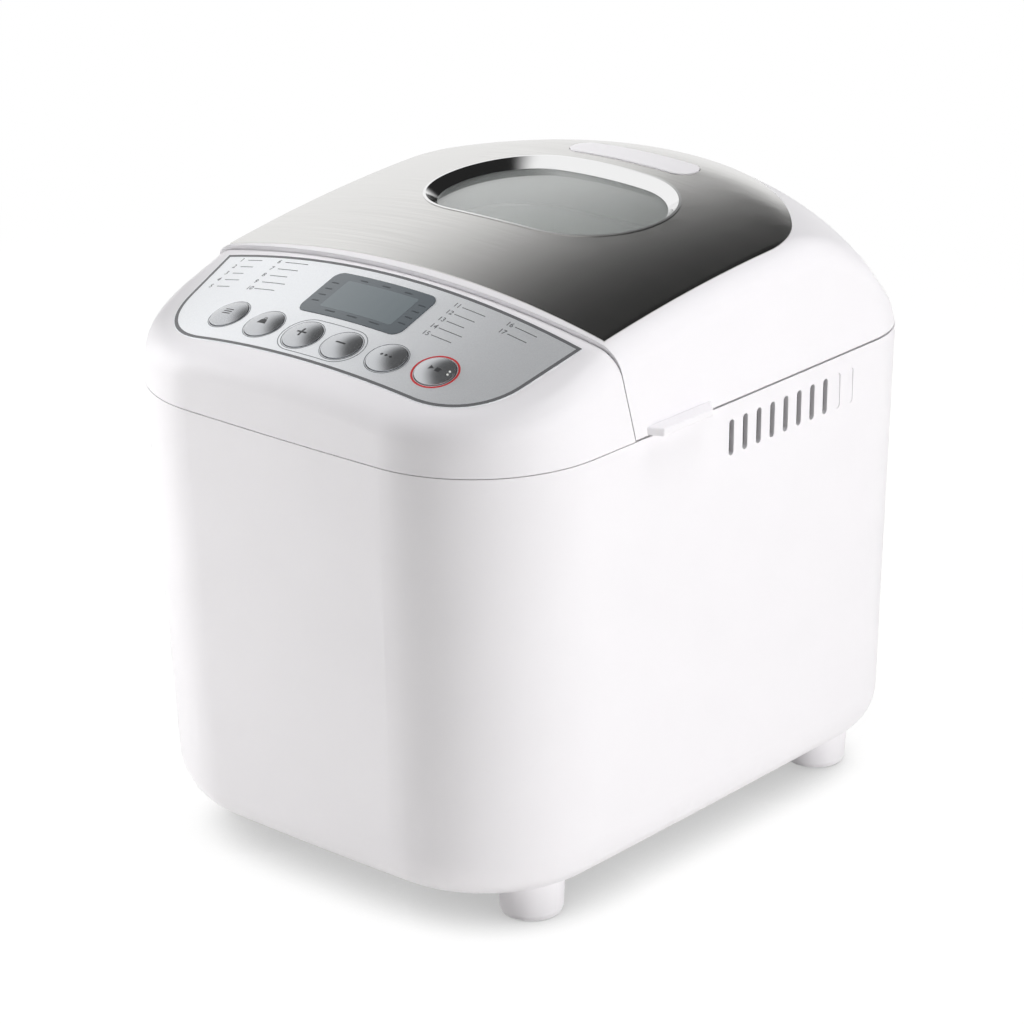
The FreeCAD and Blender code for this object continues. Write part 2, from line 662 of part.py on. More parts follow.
def control_housing():
    """Upper front casing with its rear wall on the joint to the lid."""
    gap = s.parting_gap / 2
    outer = front_form(0).common(beyond_parting(-gap, -1))
    inner = front_form(s.wall).common(beyond_parting(-gap - s.wall, -1))
    bosses = [Part.makeCylinder(s.boss_diameter / 2, s.board_depth, Vector(x, y, -s.board_depth))
              for x, y in board_corners()]
    core = front_form(s.wall / 2)
    solid = outer.cut(inner).fuse([along_panel(boss, board_frame).common(core) for boss in bosses])
    window = display_prism(-s.glass_ledge).cut(panel_top(3 * s.wall))
    seat = display_prism(s.fit_gap).cut(panel_top(s.lens_thickness - s.lens_proud + s.film_gap))
    solid = solid.cut([window, seat] + button_bores())
    return solid.common(above(s.seam_height + s.housing_gap))


keep("control_housing", made("control_housing", control_housing()))


def overlay_prism():
    """An upright prism over the panel sheet's outline: straight back, bowed front, round front corners."""
    half = s.overlay_width / 2
    back, front = -s.overlay_back, -s.overlay_front
    narrow = half - s.overlay_taper
    points = [Vector(x, y, 0) for x, y in ((-half, back), (half, back), (narrow, front), (-narrow, front))]
    edges = [Part.makeLine(points[k], points[k + 1]) for k in range(2)]
    edges.append(Part.Arc(points[2], Vector(0, front - s.overlay_bow, 0), points[3]).toShape())
    edges.append(Part.makeLine(points[3], points[0]))
    prism = plan_prism(edges)
    return prism.makeFillet(s.overlay_corner, [edge for edge in prism.Edges if upright(edge)
                                               and edge.CenterOfMass.y < (front + back) / 2])


overlay = overlay_prism().common(panel_top(-s.overlay_thickness).cut(panel_top(0)))
overlay = overlay.cut([display_prism(s.fit_gap)] + button_bores())
keep("control_overlay", made("control_overlay", overlay))
lens = display_prism(0).common(panel_top(-s.lens_proud).cut(panel_top(s.lens_thickness - s.lens_proud)))
keep("display_lens", made("display_lens", lens))

module_shift = (s.board_setback - s.display_setback) / math.cos(tilt)
module_top = s.wall + s.lens_thickness
module = Part.makeBox(s.module_width, s.module_depth, s.board_depth - module_top,
                      Vector(-s.module_width / 2, module_shift - s.module_depth / 2, -s.board_depth))
keep("display_module", made("display_module", along_panel(module, board_frame)))
board = board_box(s.board_width, s.board_length, s.board_depth, s.board_depth + s.board_thickness)
keep("control_board", made("control_board", board))


def board_distance(x):
    """How far a button's surface point lies above the board along the button's axis."""
    spot = button_place(x)
    normal = board_frame.Rotation.multVec(Vector(0, 0, 1))
    board = board_frame.multVec(Vector(0, 0, -s.board_depth))
    return (spot.Base - board).dot(normal) / panel_normal(x).dot(normal)


def switch_on_board(x):
    """One small key switch standing on the board under a button."""
    spot = button_place(x)
    foot = spot.Base - panel_normal(x) * board_distance(x)
    local = board_frame.inverse().multVec(foot)
    size = s.switch_size
    corner = Vector(local.x - size / 2, local.y - size / 2, -s.board_depth)
    return along_panel(Part.makeBox(size, size, s.switch_height, corner), board_frame)


switches = Part.makeCompound([switch_on_board(x) for _, x in BUTTONS])
keep("tact_switches", made("tact_switches", switches))


def push_button(x):
    """A domed cap with a retaining flange below the wall and a stem to its switch."""
    radius = s.button_diameter / 2
    crest = s.button_rim + s.button_dome
    flange_top = -s.wall - s.button_play
    flange_bottom = flange_top - s.button_flange
    stem_end = -board_distance(x) + s.switch_height + s.button_travel + s.button_play
    stem = s.stem_diameter / 2
    flange = radius + s.button_skirt
    points = [Vector(px, 0, pz) for px, pz in (
        (0, stem_end), (stem, stem_end), (stem, flange_bottom), (flange, flange_bottom), (flange, flange_top),
        (radius, flange_top), (radius, s.button_rim), (0, crest))]
    sphere = (radius ** 2 + s.button_dome ** 2) / (2 * s.button_dome)
    half = math.asin(radius / sphere) / 2
    shoulder = Vector(sphere * math.sin(half), 0, crest - sphere * (1 - math.cos(half)))
    edges = [Part.makeLine(a, b) for a, b in zip(points[:-1], points[1:-1])]
    edges.append(Part.Arc(points[-2], shoulder, points[-1]).toShape())
    edges.append(Part.makeLine(points[-1], points[0]))
    face = Part.Face(Part.Wire(edges))
    return face.revolve(Vector(), Vector(0, 0, 1), 360)


for node, across in BUTTONS:
    button = made(node, push_button(across))
    button.Placement = button_place(across)
    keep(node, button)

# Lid: white shell, steel skin, window, vent cap and inner liner.


def skin_prism():
    """An upright prism over the steel skin's outline: straight front and sides, curved rear."""
    half = s.skin_width / 2
    top = s.seam_height + 2 * s.lid_rise
    strip = slab(Vector(-half, -s.skin_front, s.seam_height), Vector(half, FAR, top))
    centre = Vector(0, s.skin_rear - s.skin_rear_radius, s.seam_height)
    round_end = Part.makeCylinder(s.skin_rear_radius, 2 * s.lid_rise, centre)
    front = slab(Vector(-FAR, -FAR, s.seam_height), Vector(FAR, centre.y, top))
    prism = strip.common(round_end.fuse(front)).removeSplitter()
    corners = [edge for edge in prism.Edges if upright(edge) and edge.CenterOfMass.y > 0
               and abs(abs(edge.CenterOfMass.x) - half) < s.film_gap]
    return prism.makeFillet(s.skin_corner, corners)


def funnel(grow):
    """The tapering well of the window: wide at the lid's surface, narrow at the glass."""
    rise, drop = s.bevel_depth, 2 * s.bevel_depth
    front_rim = lid_height(s.window_offset - s.window_depth / 2)
    rear_rim = lid_height(s.window_offset + s.window_depth / 2)
    lean = math.degrees(math.atan2(rear_rim - front_rim, s.window_depth))
    wires = []
    for level in (-drop, rise):
        step = level * s.bevel_slope + grow
        wire = Part.Wire(Part.__sortEdges__(rounded_rectangle(
            s.window_width / 2 + step, s.window_depth / 2 + step, s.window_corner + step, 0)))
        wire.translate(Vector(0, 0, level))
        wires.append(wire)
    well = Part.makeLoft(wires, True, True)
    well.Placement = Placement(Vector(0, s.window_offset, (front_rim + rear_rim) / 2),
                               Rotation(Vector(1, 0, 0), lean))
    return well


def glass_prism(grow):
    """An upright prism over the outline of the window glass."""
    step = s.glass_ledge - s.bevel_depth * s.bevel_slope + grow
    return plan_prism(rounded_rectangle(s.window_width / 2 + step, s.window_depth / 2 + step,
                                        s.window_corner + step, s.window_offset))


def cap_prism(grow):
    """An upright prism over the vent cap's outline."""
    half_depth = s.cap_depth / 2 + grow
    return plan_prism(rounded_rectangle(s.cap_length / 2 + grow, half_depth, half_depth, s.cap_offset))


def lid_lips():
    """Finger lips on the lower side edges."""
    lips = []
    for side in (-1, 1):
        root = s.body_width / 2 - s.wall / 2
        tip = s.body_width / 2 + s.side_bow + s.lip_reach
        corners = [(root, -s.lip_front), (tip, -s.lip_front + s.lip_front_slant),
                   (tip, -s.lip_rear - s.lip_rear_slant), (root, -s.lip_rear)]
        points = [Vector(side * x, y, s.lid_under) for x, y in corners]
        lip = Part.Face(Part.makePolygon(points + points[:1])).extrude(Vector(0, 0, s.lip_thickness))
        rim = [edge for edge in lip.Edges if abs(edge.CenterOfMass.x) > root + s.film_gap]
        lips.append(lip.makeFillet(s.lip_round, rim))
    return lips


def hinge_barrel(x, half_length, radius):
    """A barrel along the hinge axis."""
    return Part.makeCylinder(radius, 2 * half_length, Vector(x - half_length, s.hinge_axis, s.hinge_level),
                             Vector(1, 0, 0))


def lid_knuckles(outer):
    """Barrels of the lid's half of the hinge, each on a web under the rear wall."""
    middle = (s.bracket_length + s.knuckle_length) / 2 + s.knuckle_gap
    half = s.knuckle_length / 2
    pieces = []
    for place_x in hinge_places():
        for x in (place_x - middle, place_x + middle):
            web = slab(Vector(x - half, s.hinge_axis - s.knuckle_radius, s.hinge_level),
                       Vector(x + half, s.hinge_axis + s.wall, s.hinge_level + s.knuckle_radius * 4))
            barrel = hinge_barrel(x, half, s.knuckle_radius)
            bore = hinge_barrel(x, half + s.wall, s.hinge_pin_radius + s.running_gap)
            pieces.append(web.common(outer).fuse(barrel).cut(bore))
    return pieces


def lid_shell():
    """White lid casing: walls, seat for the skin, window collar, lips and hinge knuckles."""
    gap = s.parting_gap / 2
    outer = lid_form(0).common(beyond_parting(gap, 1)).common(above(s.lid_under))
    inner = lid_form(s.wall).common(beyond_parting(gap + s.wall, 1))
    glass_under = s.bevel_depth + s.glass_thickness + 2 * s.seat_gap
    collar = funnel(s.bevel_wall + s.collar_wall).common(lid_layer(s.wall / 2, s.bevel_depth))
    ring = glass_prism(s.collar_wall).common(lid_layer(s.bevel_depth - s.glass_thickness, glass_under))
    solid = outer.cut(inner).fuse([collar, ring])
    relief = slab(Vector(-FAR, s.hinge_axis - s.knuckle_radius - s.hinge_inset, 0),
                  Vector(FAR, FAR, s.seam_height + s.hinge_relief))
    notch_top = s.hinge_level + s.knuckle_radius + s.hinge_room
    notches = [hinge_notch(x, s.bracket_length / 2 + s.knuckle_gap, 0, notch_top) for x in hinge_places()]
    seat = skin_prism().cut(lid_form(s.skin_thickness - s.skin_proud + s.film_gap))
    holes = [funnel(s.bevel_wall + s.film_gap), glass_prism(s.fit_gap), cap_prism(s.seat_gap)]
    solid = solid.cut([seat, relief] + holes + notches)
    return solid.fuse(lid_lips() + lid_knuckles(outer))


keep("lid_shell", made("lid_shell", lid_shell()))
skin = skin_prism().common(lid_form(-s.skin_proud).cut(lid_form(s.skin_thickness - s.skin_proud)))
skin = skin.cut([funnel(s.bevel_wall + s.film_gap), cap_prism(s.seat_gap)])
keep("lid_skin", made("lid_skin", skin))
bezel_layer = lid_layer(-s.skin_proud - s.bezel_proud, s.bevel_depth)
keep("window_bezel", made("window_bezel", funnel(s.bevel_wall).cut(funnel(0)).common(bezel_layer)))
glass_layer = lid_layer(s.bevel_depth + s.film_gap, s.bevel_depth + s.glass_thickness)
keep("window_glass", made("window_glass", glass_prism(0).common(glass_layer)))
cap = cap_prism(0).common(lid_form(-s.cap_proud).cut(lid_form(s.cap_thickness)))
keep("vent_cap", made("vent_cap", cap))


def liner_outline(grow):
    """Corners of the raised part of the lid's liner: a rectangle over the chamber with cut corners."""
    width = s.chamber_width / 2 + grow
    depth = s.chamber_depth / 2 - s.element_gap / 2 + grow
    cut = s.liner_corner + grow * (2 - math.sqrt(2))
    quarter = [(width, depth - cut), (width - cut, depth)]
    half = quarter + [(-x, y) for x, y in reversed(quarter)]
    return [Vector(x, y + s.chamber_offset, 0) for x, y in half + [(-x, -y) for x, y in half]]


def upright_prism(points, low, high):
    """A prism over a closed row of corners, between two heights."""
    face = Part.Face(Part.makePolygon(points + points[:1]))
    face.translate(Vector(0, 0, low))
    return face.extrude(Vector(0, 0, high - low))


def lid_liner():
    """Inner panel of the lid, folded from sheet: rim strips along the lid's walls and a ceiling."""
    gap = s.parting_gap / 2 + s.wall + s.seat_gap
    rim_level = s.lid_under + s.liner_thickness
    rim_top = rim_level + s.liner_thickness
    outline = liner_outline(s.liner_thickness)
    right, left, rear, front = outline[0].x, outline[3].x, outline[1].y, outline[5].y
    rim = lid_form(s.wall + s.seat_gap).common(beyond_parting(gap, 1))
    rim = rim.common(slab(Vector(-FAR, -FAR, rim_level),
                          Vector(FAR, s.hinge_axis - 3 * s.knuckle_radius, rim_top)))
    strips = [slab(Vector(-FAR, -FAR, 0), Vector(left, FAR, FAR)),
              slab(Vector(right, -FAR, 0), Vector(FAR, FAR, FAR)),
              slab(Vector(left, -FAR, 0), Vector(right, front, FAR)),
              slab(Vector(left, rear, 0), Vector(right, FAR, FAR))]
    gussets = []
    for k, (x, y) in enumerate(((right, rear), (left, rear), (left, front), (right, front))):
        gussets.append(upright_prism([outline[2 * k], Vector(x, y, 0), outline[2 * k + 1]], rim_level, rim_top))
    window = plan_prism(rounded_rectangle(s.inner_window_width / 2, s.inner_window_depth / 2,
                                          s.inner_window_corner, s.window_offset))
    ceiling = upright_prism(outline, s.ceiling, s.ceiling + s.liner_thickness).cut(window)
    return Part.makeCompound([rim.common(strip) for strip in strips] + gussets + [ceiling])


def liner_walls():
    """Eight flat walls between the rim and the ceiling of the lid's liner."""
    inner, outer = liner_outline(0), liner_outline(s.liner_thickness)
    return Part.makeCompound([
        upright_prism([inner[k - 1], inner[k], outer[k], outer[k - 1]], s.lid_under + s.liner_thickness, s.ceiling)
        for k in range(len(inner))])


keep("liner_walls", made("liner_walls", liner_walls()))
keep("lid_liner", made("lid_liner", lid_liner()))
keep("inner_glass", block("inner_glass", "inner_window_width + 2 * glass_ledge",
                          "inner_window_depth + 2 * glass_ledge", "glass_thickness",
                          "inner_window_corner + glass_ledge", y="window_offset",
                          z="ceiling + liner_thickness"))

# Rear hinge: brackets on the casing and their pins.


def hinge_bracket(x):
    """A barrel on a strap that runs down the inside of the casing's rear wall."""
    half = s.bracket_length / 2
    rear = s.body_depth / 2 - s.rear_inset - s.wall - s.seat_gap
    strap = slab(Vector(x - half, rear - s.bracket_thickness, s.hinge_level - s.bracket_drop),
                 Vector(x + half, rear, s.hinge_level))
    arm = slab(Vector(x - half, rear - s.bracket_thickness, s.hinge_level - s.knuckle_radius),
               Vector(x + half, s.hinge_axis, s.hinge_level))
    barrel = hinge_barrel(x, half, s.knuckle_radius)
    return strap.fuse([arm, barrel]).cut(hinge_barrel(x, half + s.wall, s.hinge_pin_radius + s.running_gap))


keep("hinge_brackets", made("hinge_brackets", Part.makeCompound([hinge_bracket(x) for x in hinge_places()])))
pin_length = "bracket_length + 2 * knuckle_length + 2 * knuckle_gap"
pins = [rod("hinge_pin_%d" % k, "hinge_pin_radius", pin_length,
            "%s hinge_spread - (%s) / 2" % (sign, pin_length), "hinge_axis", "hinge_level", ALONG_X)
        for k, sign in enumerate(("-", "+"))]
keep("hinge_pins", joined("hinge_pin_pair", pins))

# Baking chamber: liner, deck, heater and sensors.

chamber_outer = block("chamber_outer", "chamber_width + 2 * sheet_thickness",
                      "chamber_depth + 2 * sheet_thickness", "deck_top - chassis_top + sheet_thickness",
                      "chamber_corner + sheet_thickness", y="chamber_offset", z="chassis_top")
chamber_inner = block("chamber_inner", "chamber_width", "chamber_depth", "seam_height", "chamber_corner",
                      y="chamber_offset", z="chamber_floor")
flange = block("chamber_flange_sheet", "chamber_width + 2 * chamber_flange",
               "chamber_depth + 2 * chamber_flange", "sheet_thickness", "chamber_corner + chamber_flange",
               y="chamber_offset", z="deck_top")
lead_holes = [rod("lead_hole_%d" % k, "element_radius + fit_gap", "element_tail", sign + "element_lead",
                  "chamber_front - element_tail / 2", "element_level", ALONG_Y)
              for k, sign in enumerate(("-", ""))]
probe_hole = rod("probe_hole", "probe_radius + film_gap", "probe_length", "-probe_offset",
                 "chamber_front - probe_length / 2", "chamber_floor + probe_height", ALONG_Y)
bush_hole = rod("liner_bush_hole", "bush_radius + fit_gap", "4 * sheet_thickness", "0", "chamber_offset",
                "chassis_top - sheet_thickness")
keep("chamber_liner", less("chamber_liner", joined("chamber_blank", [chamber_outer, flange]),
                           chamber_inner, bush_hole, probe_hole, *lead_holes))


def top_deck():
    """Deck between the chamber's mouth and the casing walls, behind the control housing."""
    front = s.chamber_front - s.chamber_flange - s.deck_front_room
    rear = s.hinge_axis - 3 * s.knuckle_radius
    layer = slab(Vector(-FAR, front, s.deck_top - s.deck_thickness), Vector(FAR, rear, s.deck_top))
    around = s.sheet_thickness + s.seat_gap
    hole = plan_prism(rounded_rectangle(s.chamber_width / 2 + around, s.chamber_depth / 2 + around,
                                        s.chamber_corner + around, s.chamber_offset))
    hole.translate(Vector(0, 0, -s.lid_rise))
    return lower_form(s.wall + s.fit_gap).common(layer).cut(hole)


keep("top_deck", made("top_deck", top_deck()))


def bent_wire(points, radii):
    """A path of straight runs joined by tangent arcs."""
    edges = []
    start = points[0]
    for before, corner, after, radius in zip(points, points[1:], points[2:], radii):
        into, out = (corner - before).normalize(), (after - corner).normalize()
        half = into.getAngle(out) / 2
        reach = radius * math.tan(half)
        first, last = corner - into * reach, corner + out * reach
        inward = (out - into).normalize()
        middle = corner + inward * (radius / math.cos(half) - radius)
        edges.append(Part.makeLine(start, first))
        edges.append(Part.Arc(first, middle, last).toShape())
        start = last
    edges.append(Part.makeLine(start, points[-1]))
    return Part.Wire(edges)


def tube(path, radius):
    """A round bar along a path."""
    start = path.Edges[0].Vertexes[0].Point
    direction = path.Edges[0].tangentAt(path.Edges[0].FirstParameter)
    profile = Part.Wire(Part.makeCircle(radius, start, direction))
    return path.makePipeShell([profile], True, True)


def heating_element():
    """A tubular heater round the pan, its ends through the chamber's front wall."""
    half_width = s.chamber_width / 2 - s.element_gap - s.element_radius
    front = s.chamber_front + s.element_gap + s.element_radius
    rear = s.chamber_offset + s.chamber_depth / 2 - s.element_gap - s.element_radius
    end = s.chamber_front - s.element_tail
    corners = [(-s.element_lead, end), (-s.element_lead, front), (-half_width, front), (-half_width, rear),
               (half_width, rear), (half_width, front), (s.element_lead, front), (s.element_lead, end)]
    points = [Vector(x, y, s.element_level) for x, y in corners]
    corner = min(s.element_corner, half_width / 2)
    return tube(bent_wire(points, [s.element_bend] + [corner] * 4 + [s.element_bend]), s.element_radius)


keep("heating_element", made("heating_element", heating_element()))
clip_depth = "(element_gap - film_gap)"
clip_height = "2 * element_radius + 2 * clip_lip"
clip_level = "element_level - element_radius - clip_lip"
clips = [box("clip_left", clip_depth, "clip_width", clip_height, "-chamber_width / 2 + %s / 2" % clip_depth,
             "chamber_offset", clip_level),
         box("clip_right", clip_depth, "clip_width", clip_height, "chamber_width / 2 - %s / 2" % clip_depth,
             "chamber_offset", clip_level),
         box("clip_rear", "clip_width", clip_depth, clip_height, "0",
             "chamber_offset + chamber_depth / 2 - %s / 2" % clip_depth, clip_level)]
keep("element_clips", joined("element_clip_set", clips))
probe_profile = [("0", "-probe_length / 2"), ("probe_radius", "-probe_length / 2"),
                 ("probe_radius", "probe_length / 2"), ("0", "probe_length / 2")]
probe_stem = turned("probe_stem", probe_profile, "-probe_offset", "chamber_front",
                    "chamber_floor + probe_height", ALONG_Y)
probe_collar = rod("probe_disc", "probe_collar", "2 * sheet_thickness", "-probe_offset",
                   "chamber_front - 3 * sheet_thickness", "chamber_floor + probe_height", ALONG_Y)
keep("temperature_probe", joined("probe", [probe_stem, probe_collar]))
keep("thermal_cutout", rod("cutout", "cutout_diameter / 2", "cutout_height", "probe_offset",
                           "chamber_front - sheet_thickness - cutout_height", "chamber_floor + probe_height",
                           ALONG_Y))

# Pan seat and the bread pan.

socket_inner, socket_top = "ring_radius + 2 * seat_gap", "socket_thickness + socket_rim"
socket_profile = [("socket_bore", "0"), ("socket_radius", "0"), ("socket_radius", socket_top),
                  (socket_inner, socket_top), (socket_inner, "socket_thickness"),
                  ("socket_bore", "socket_thickness")]
keep("pan_socket", turned("socket", socket_profile, "0", "chamber_offset", "chamber_floor"))
springs = [box("spring_%d" % k, "sheet_thickness", "socket_clip_width", socket_top + " + sheet_thickness",
               "%s (socket_radius + sheet_thickness / 2 + film_gap)" % sign, "chamber_offset",
               "chamber_floor")
           for k, sign in enumerate(("-", "+"))]
keep("socket_clips", joined("socket_clip_pair", springs))

pan_taper = "atan(pan_draft / pan_height)"
pan_foot_width, pan_foot_depth = "pan_width - 2 * pan_draft", "pan_depth - 2 * pan_draft"
pan_outer = block("pan_outer", pan_foot_width, pan_foot_depth, "pan_height", "pan_corner",
                  y="chamber_offset", z="pan_under", taper=pan_taper)
pan_inner = block("pan_inner", pan_foot_width + " - 2 * pan_wall", pan_foot_depth + " - 2 * pan_wall",
                  "pan_height", "pan_corner - pan_wall", y="chamber_offset", z="pan_floor", taper=pan_taper)
pan_rim = block("pan_rim", "pan_width + 2 * rim_width", "pan_depth + 2 * rim_width", "rim_thickness",
                "pan_corner + rim_width", y="chamber_offset", z="pan_top - rim_thickness")
pan_hole = rod("pan_hole", "pan_bush_neck", "4 * pan_wall", "0", "chamber_offset", "pan_under - pan_wall")
keep("bread_pan", less("bread_pan", joined("pan_blank", [pan_outer, pan_rim]), pan_inner, pan_hole))
ring_profile = [("ring_radius - ring_wall", "0"), ("ring_radius", "0"), ("ring_radius", "ring_height"),
                ("ring_radius - ring_wall", "ring_height")]
keep("pan_base_ring", turned("pan_ring", ring_profile, "0", "chamber_offset", "ring_under"))
bush_bore, bush_top = "kneader_radius + running_gap", "pan_wall + pan_bush_rise"
bush_profile = [(bush_bore, "-pan_bush_drop"), ("pan_bush_neck", "-pan_bush_drop"),
                ("pan_bush_neck", "pan_wall"), ("pan_bush_radius", "pan_wall"),
                ("pan_bush_radius - pan_bush_edge", bush_top), (bush_bore, bush_top)]
keep("pan_bush", turned("pan_bush_body", bush_profile, "0", "chamber_offset", "pan_under"))

ears = []
for k, sign in enumerate(("-", "+")):
    ear_x = "%s (pan_width + ear_thickness) / 2" % sign
    ear = box("ear_blank_%d" % k, "ear_thickness", "ear_size", "ear_size", ear_x, "chamber_offset",
              "handle_level - ear_size / 2 - 2 * rim_thickness")
    bore = rod("ear_bore_%d" % k, "handle_radius + running_gap", "3 * ear_thickness",
               ear_x + " - 1.5 * ear_thickness", "chamber_offset", "handle_level", ALONG_X)
    ears.append(less("ear_%d" % k, ear, bore))
keep("handle_ears", joined("handle_ear_pair", ears))


def pan_handle():
    """A wire bail folded to the rear at rim height, its bent ends in the ears."""
    stub = s.pan_width / 2 + s.ear_thickness / 3
    rear = s.chamber_offset + s.handle_reach
    corners = [(-stub, s.chamber_offset), (-s.handle_span, s.chamber_offset), (-s.handle_span, rear),
               (s.handle_span, rear), (s.handle_span, s.chamber_offset), (stub, s.chamber_offset)]
    points = [Vector(x, y, s.handle_level) for x, y in corners]
    radii = [s.handle_bend, s.handle_corner, s.handle_corner, s.handle_bend]
    return tube(bent_wire(points, radii), s.handle_radius)


keep("pan_handle", made("pan_handle", pan_handle()))

# Kneader: shaft through the pan's floor, coupling wing and paddle.

kneader_length = "pan_floor - wing_under + kneader_rise"
keep("kneading_shaft", rod("kneader_rod", "kneader_radius", kneader_length, "0", "chamber_offset",
                           "wing_under"))
wing = box("wing_bar", "wing_length", "wing_width", "wing_thickness", "0", "chamber_offset", "wing_under")
wing_bore = rod("wing_bore", "kneader_radius", "3 * wing_thickness", "0", "chamber_offset",
                "wing_under - wing_thickness")
wing_hub = rod("wing_disc", "wing_hub", "wing_thickness", "0", "chamber_offset", "wing_under")
keep("shaft_wing", less("shaft_wing", joined("wing_blank", [wing, wing_hub]), wing_bore))


def kneading_paddle():
    """A hub with one swept blade that stands off the pan's floor."""
    floor = s.pan_floor + s.pan_bush_rise + s.paddle_gap
    top = s.pan_floor + s.kneader_rise
    hub = Part.makeCone(s.paddle_hub, s.paddle_hub_top, top - floor, Vector(0, 0, floor))
    thinning = s.paddle_tip / s.paddle_thickness
    outlines = []
    for level, reach, share in ((floor, s.paddle_reach, 1.0),
                                (floor + s.paddle_height, s.paddle_top_reach, thinning)):
        root, tip = s.paddle_thickness * share / 2, s.paddle_tip * share / 2
        corners = [(0, -root), (reach, -tip), (reach, tip), (0, root), (0, -root)]
        outlines.append(Part.makePolygon([Vector(x, y, level) for x, y in corners]))
    blade = Part.makeLoft(outlines, True, True)
    bore = Part.makeCylinder(s.kneader_radius, top, Vector(0, 0, 0))
    return hub.fuse(blade).cut(bore)


paddle = made("kneading_paddle", kneading_paddle())
place(paddle, "0", "chamber_offset", "0")
keep("kneading_paddle", paddle)

# Drive: chassis, motor, belt and the shaft under the pan.

tongue = "motor_diameter / 2 + leg_size"
chassis_outline = [("-chassis_width / 2", "chamber_front - leg_size"),
                   ("motor_offset - (%s)" % tongue, "chamber_front - leg_size"),
                   ("motor_offset - (%s)" % tongue, "-motor_setback - motor_diameter / 2"),
                   ("motor_offset + (%s)" % tongue, "-motor_setback - motor_diameter / 2"),
                   ("motor_offset + (%s)" % tongue, "chamber_front - leg_size"),
                   ("chassis_width / 2", "chamber_front - leg_size"),
                   ("chassis_width / 2", "chamber_offset + chamber_depth / 2"),
                   ("-chassis_width / 2", "chamber_offset + chamber_depth / 2")]
chassis_sheet = plate("chassis_sheet", chassis_outline, "chassis_thickness", z="chassis_under")
legs = [box("leg_%d" % k, "leg_size", "leg_size", "chassis_rise", x, y, "base_top")
        for k, (x, y) in enumerate(LEGS)]
chassis_bores = leg_rods("leg_bore", "screw_radius", "chassis_rise / 2 + base_thickness",
                         "base_top - base_thickness")
chassis_bores.append(rod("chassis_bush_hole", "bush_radius + fit_gap", "4 * chassis_thickness", "0",
                         "chamber_offset", "chassis_under - chassis_thickness"))
chassis_bores.append(rod("chassis_motor_hole", "motor_boss / 2 + seat_gap", "4 * chassis_thickness",
                         "motor_offset", "-motor_setback", "chassis_under - chassis_thickness"))
keep("drive_chassis", less("drive_chassis", joined("chassis_blank", [chassis_sheet] + legs), *chassis_bores))

heads = leg_rods("screw_head", "screw_head", "screw_head_height", "foot_height + wall - screw_head_height")
shanks = leg_rods("screw_shank", "screw_radius", "base_thickness + chassis_rise / 2", "foot_height + wall")
keep("base_screws", joined("base_screw_set", heads + shanks))

motor_bore, motor_foot = "motor_shaft_radius + spindle_room", "-chassis_thickness - motor_boss_drop"
motor_radius, cover_foot = "motor_diameter / 2", "motor_height - motor_cover"
motor_profile = [(motor_bore, motor_foot), ("motor_boss / 2", motor_foot), ("motor_boss / 2", "0"),
                 (motor_radius + " - 2 * motor_edge", "0"), (motor_radius + " - motor_edge", "motor_bell"),
                 (motor_radius, "motor_bell"), (motor_radius, cover_foot),
                 (motor_radius + " - motor_edge", cover_foot),
                 (motor_radius + " - 2 * motor_edge", "motor_height"), ("0", "motor_height"),
                 ("0", "motor_height / 2"), (motor_bore, "motor_height / 2")]
keep("motor", turned("motor_body", motor_profile, "motor_offset", "-motor_setback", "chassis_top"))
keep("motor_shaft", rod("motor_spindle", "motor_shaft_radius",
                        "chassis_top + motor_height / 2 - spindle_room - pulley_under",
                        "motor_offset", "-motor_setback", "pulley_under"))


def pulley_profile(radius, bore):
    """Corners of a flat pulley with two cheeks."""
    rim, upper = radius + " + pulley_flange", "pulley_height - pulley_cheek"
    return [(bore, "0"), (rim, "0"), (rim, "pulley_cheek"), (radius, "pulley_cheek"), (radius, upper),
            (rim, upper), (rim, "pulley_height"), (bore, "pulley_height")]


small_profile = pulley_profile("motor_pulley_diameter / 2", "motor_shaft_radius + running_gap")
keep("motor_pulley", turned("small_pulley", small_profile, "motor_offset", "-motor_setback", "pulley_under"))
large_profile = pulley_profile("pulley_diameter / 2", "drive_shaft_radius + running_gap")
keep("drive_pulley", turned("large_pulley", large_profile, "0", "chamber_offset", "pulley_under"))


def belt_loop(grow):
    """Face inside a loop round both pulleys, standing off their rims by a distance."""
    small = Vector(s.motor_offset, -s.motor_setback, 0)
    large = Vector(0, s.chamber_offset, 0)
    r_small, r_large = s.motor_pulley_diameter / 2 + grow, s.pulley_diameter / 2 + grow
    line = large - small
    heading = math.atan2(line.y, line.x)
    spread = math.acos((r_small - r_large) / line.Length)

    def touch(centre, radius, angle):
        return centre + Vector(radius * math.cos(angle), radius * math.sin(angle), 0)

    sides = (heading + spread, heading - spread)
    small_ends = [touch(small, r_small, angle) for angle in sides]
    large_ends = [touch(large, r_large, angle) for angle in sides]
    edges = [Part.makeLine(a, b) for a, b in zip(small_ends, large_ends)]
    edges.append(Part.Arc(large_ends[0], touch(large, r_large, heading), large_ends[1]).toShape())
    edges.append(Part.Arc(small_ends[0], touch(small, r_small, heading + math.pi), small_ends[1]).toShape())
    return Part.Face(Part.Wire(Part.__sortEdges__(edges)))


belt = belt_loop(s.belt_gap + s.belt_thickness).cut(belt_loop(s.belt_gap)).extrude(Vector(0, 0, s.belt_width))
belt.translate(Vector(0, 0, s.pulley_under + s.pulley_cheek + s.belt_gap))
keep("drive_belt", made("drive_belt", belt))

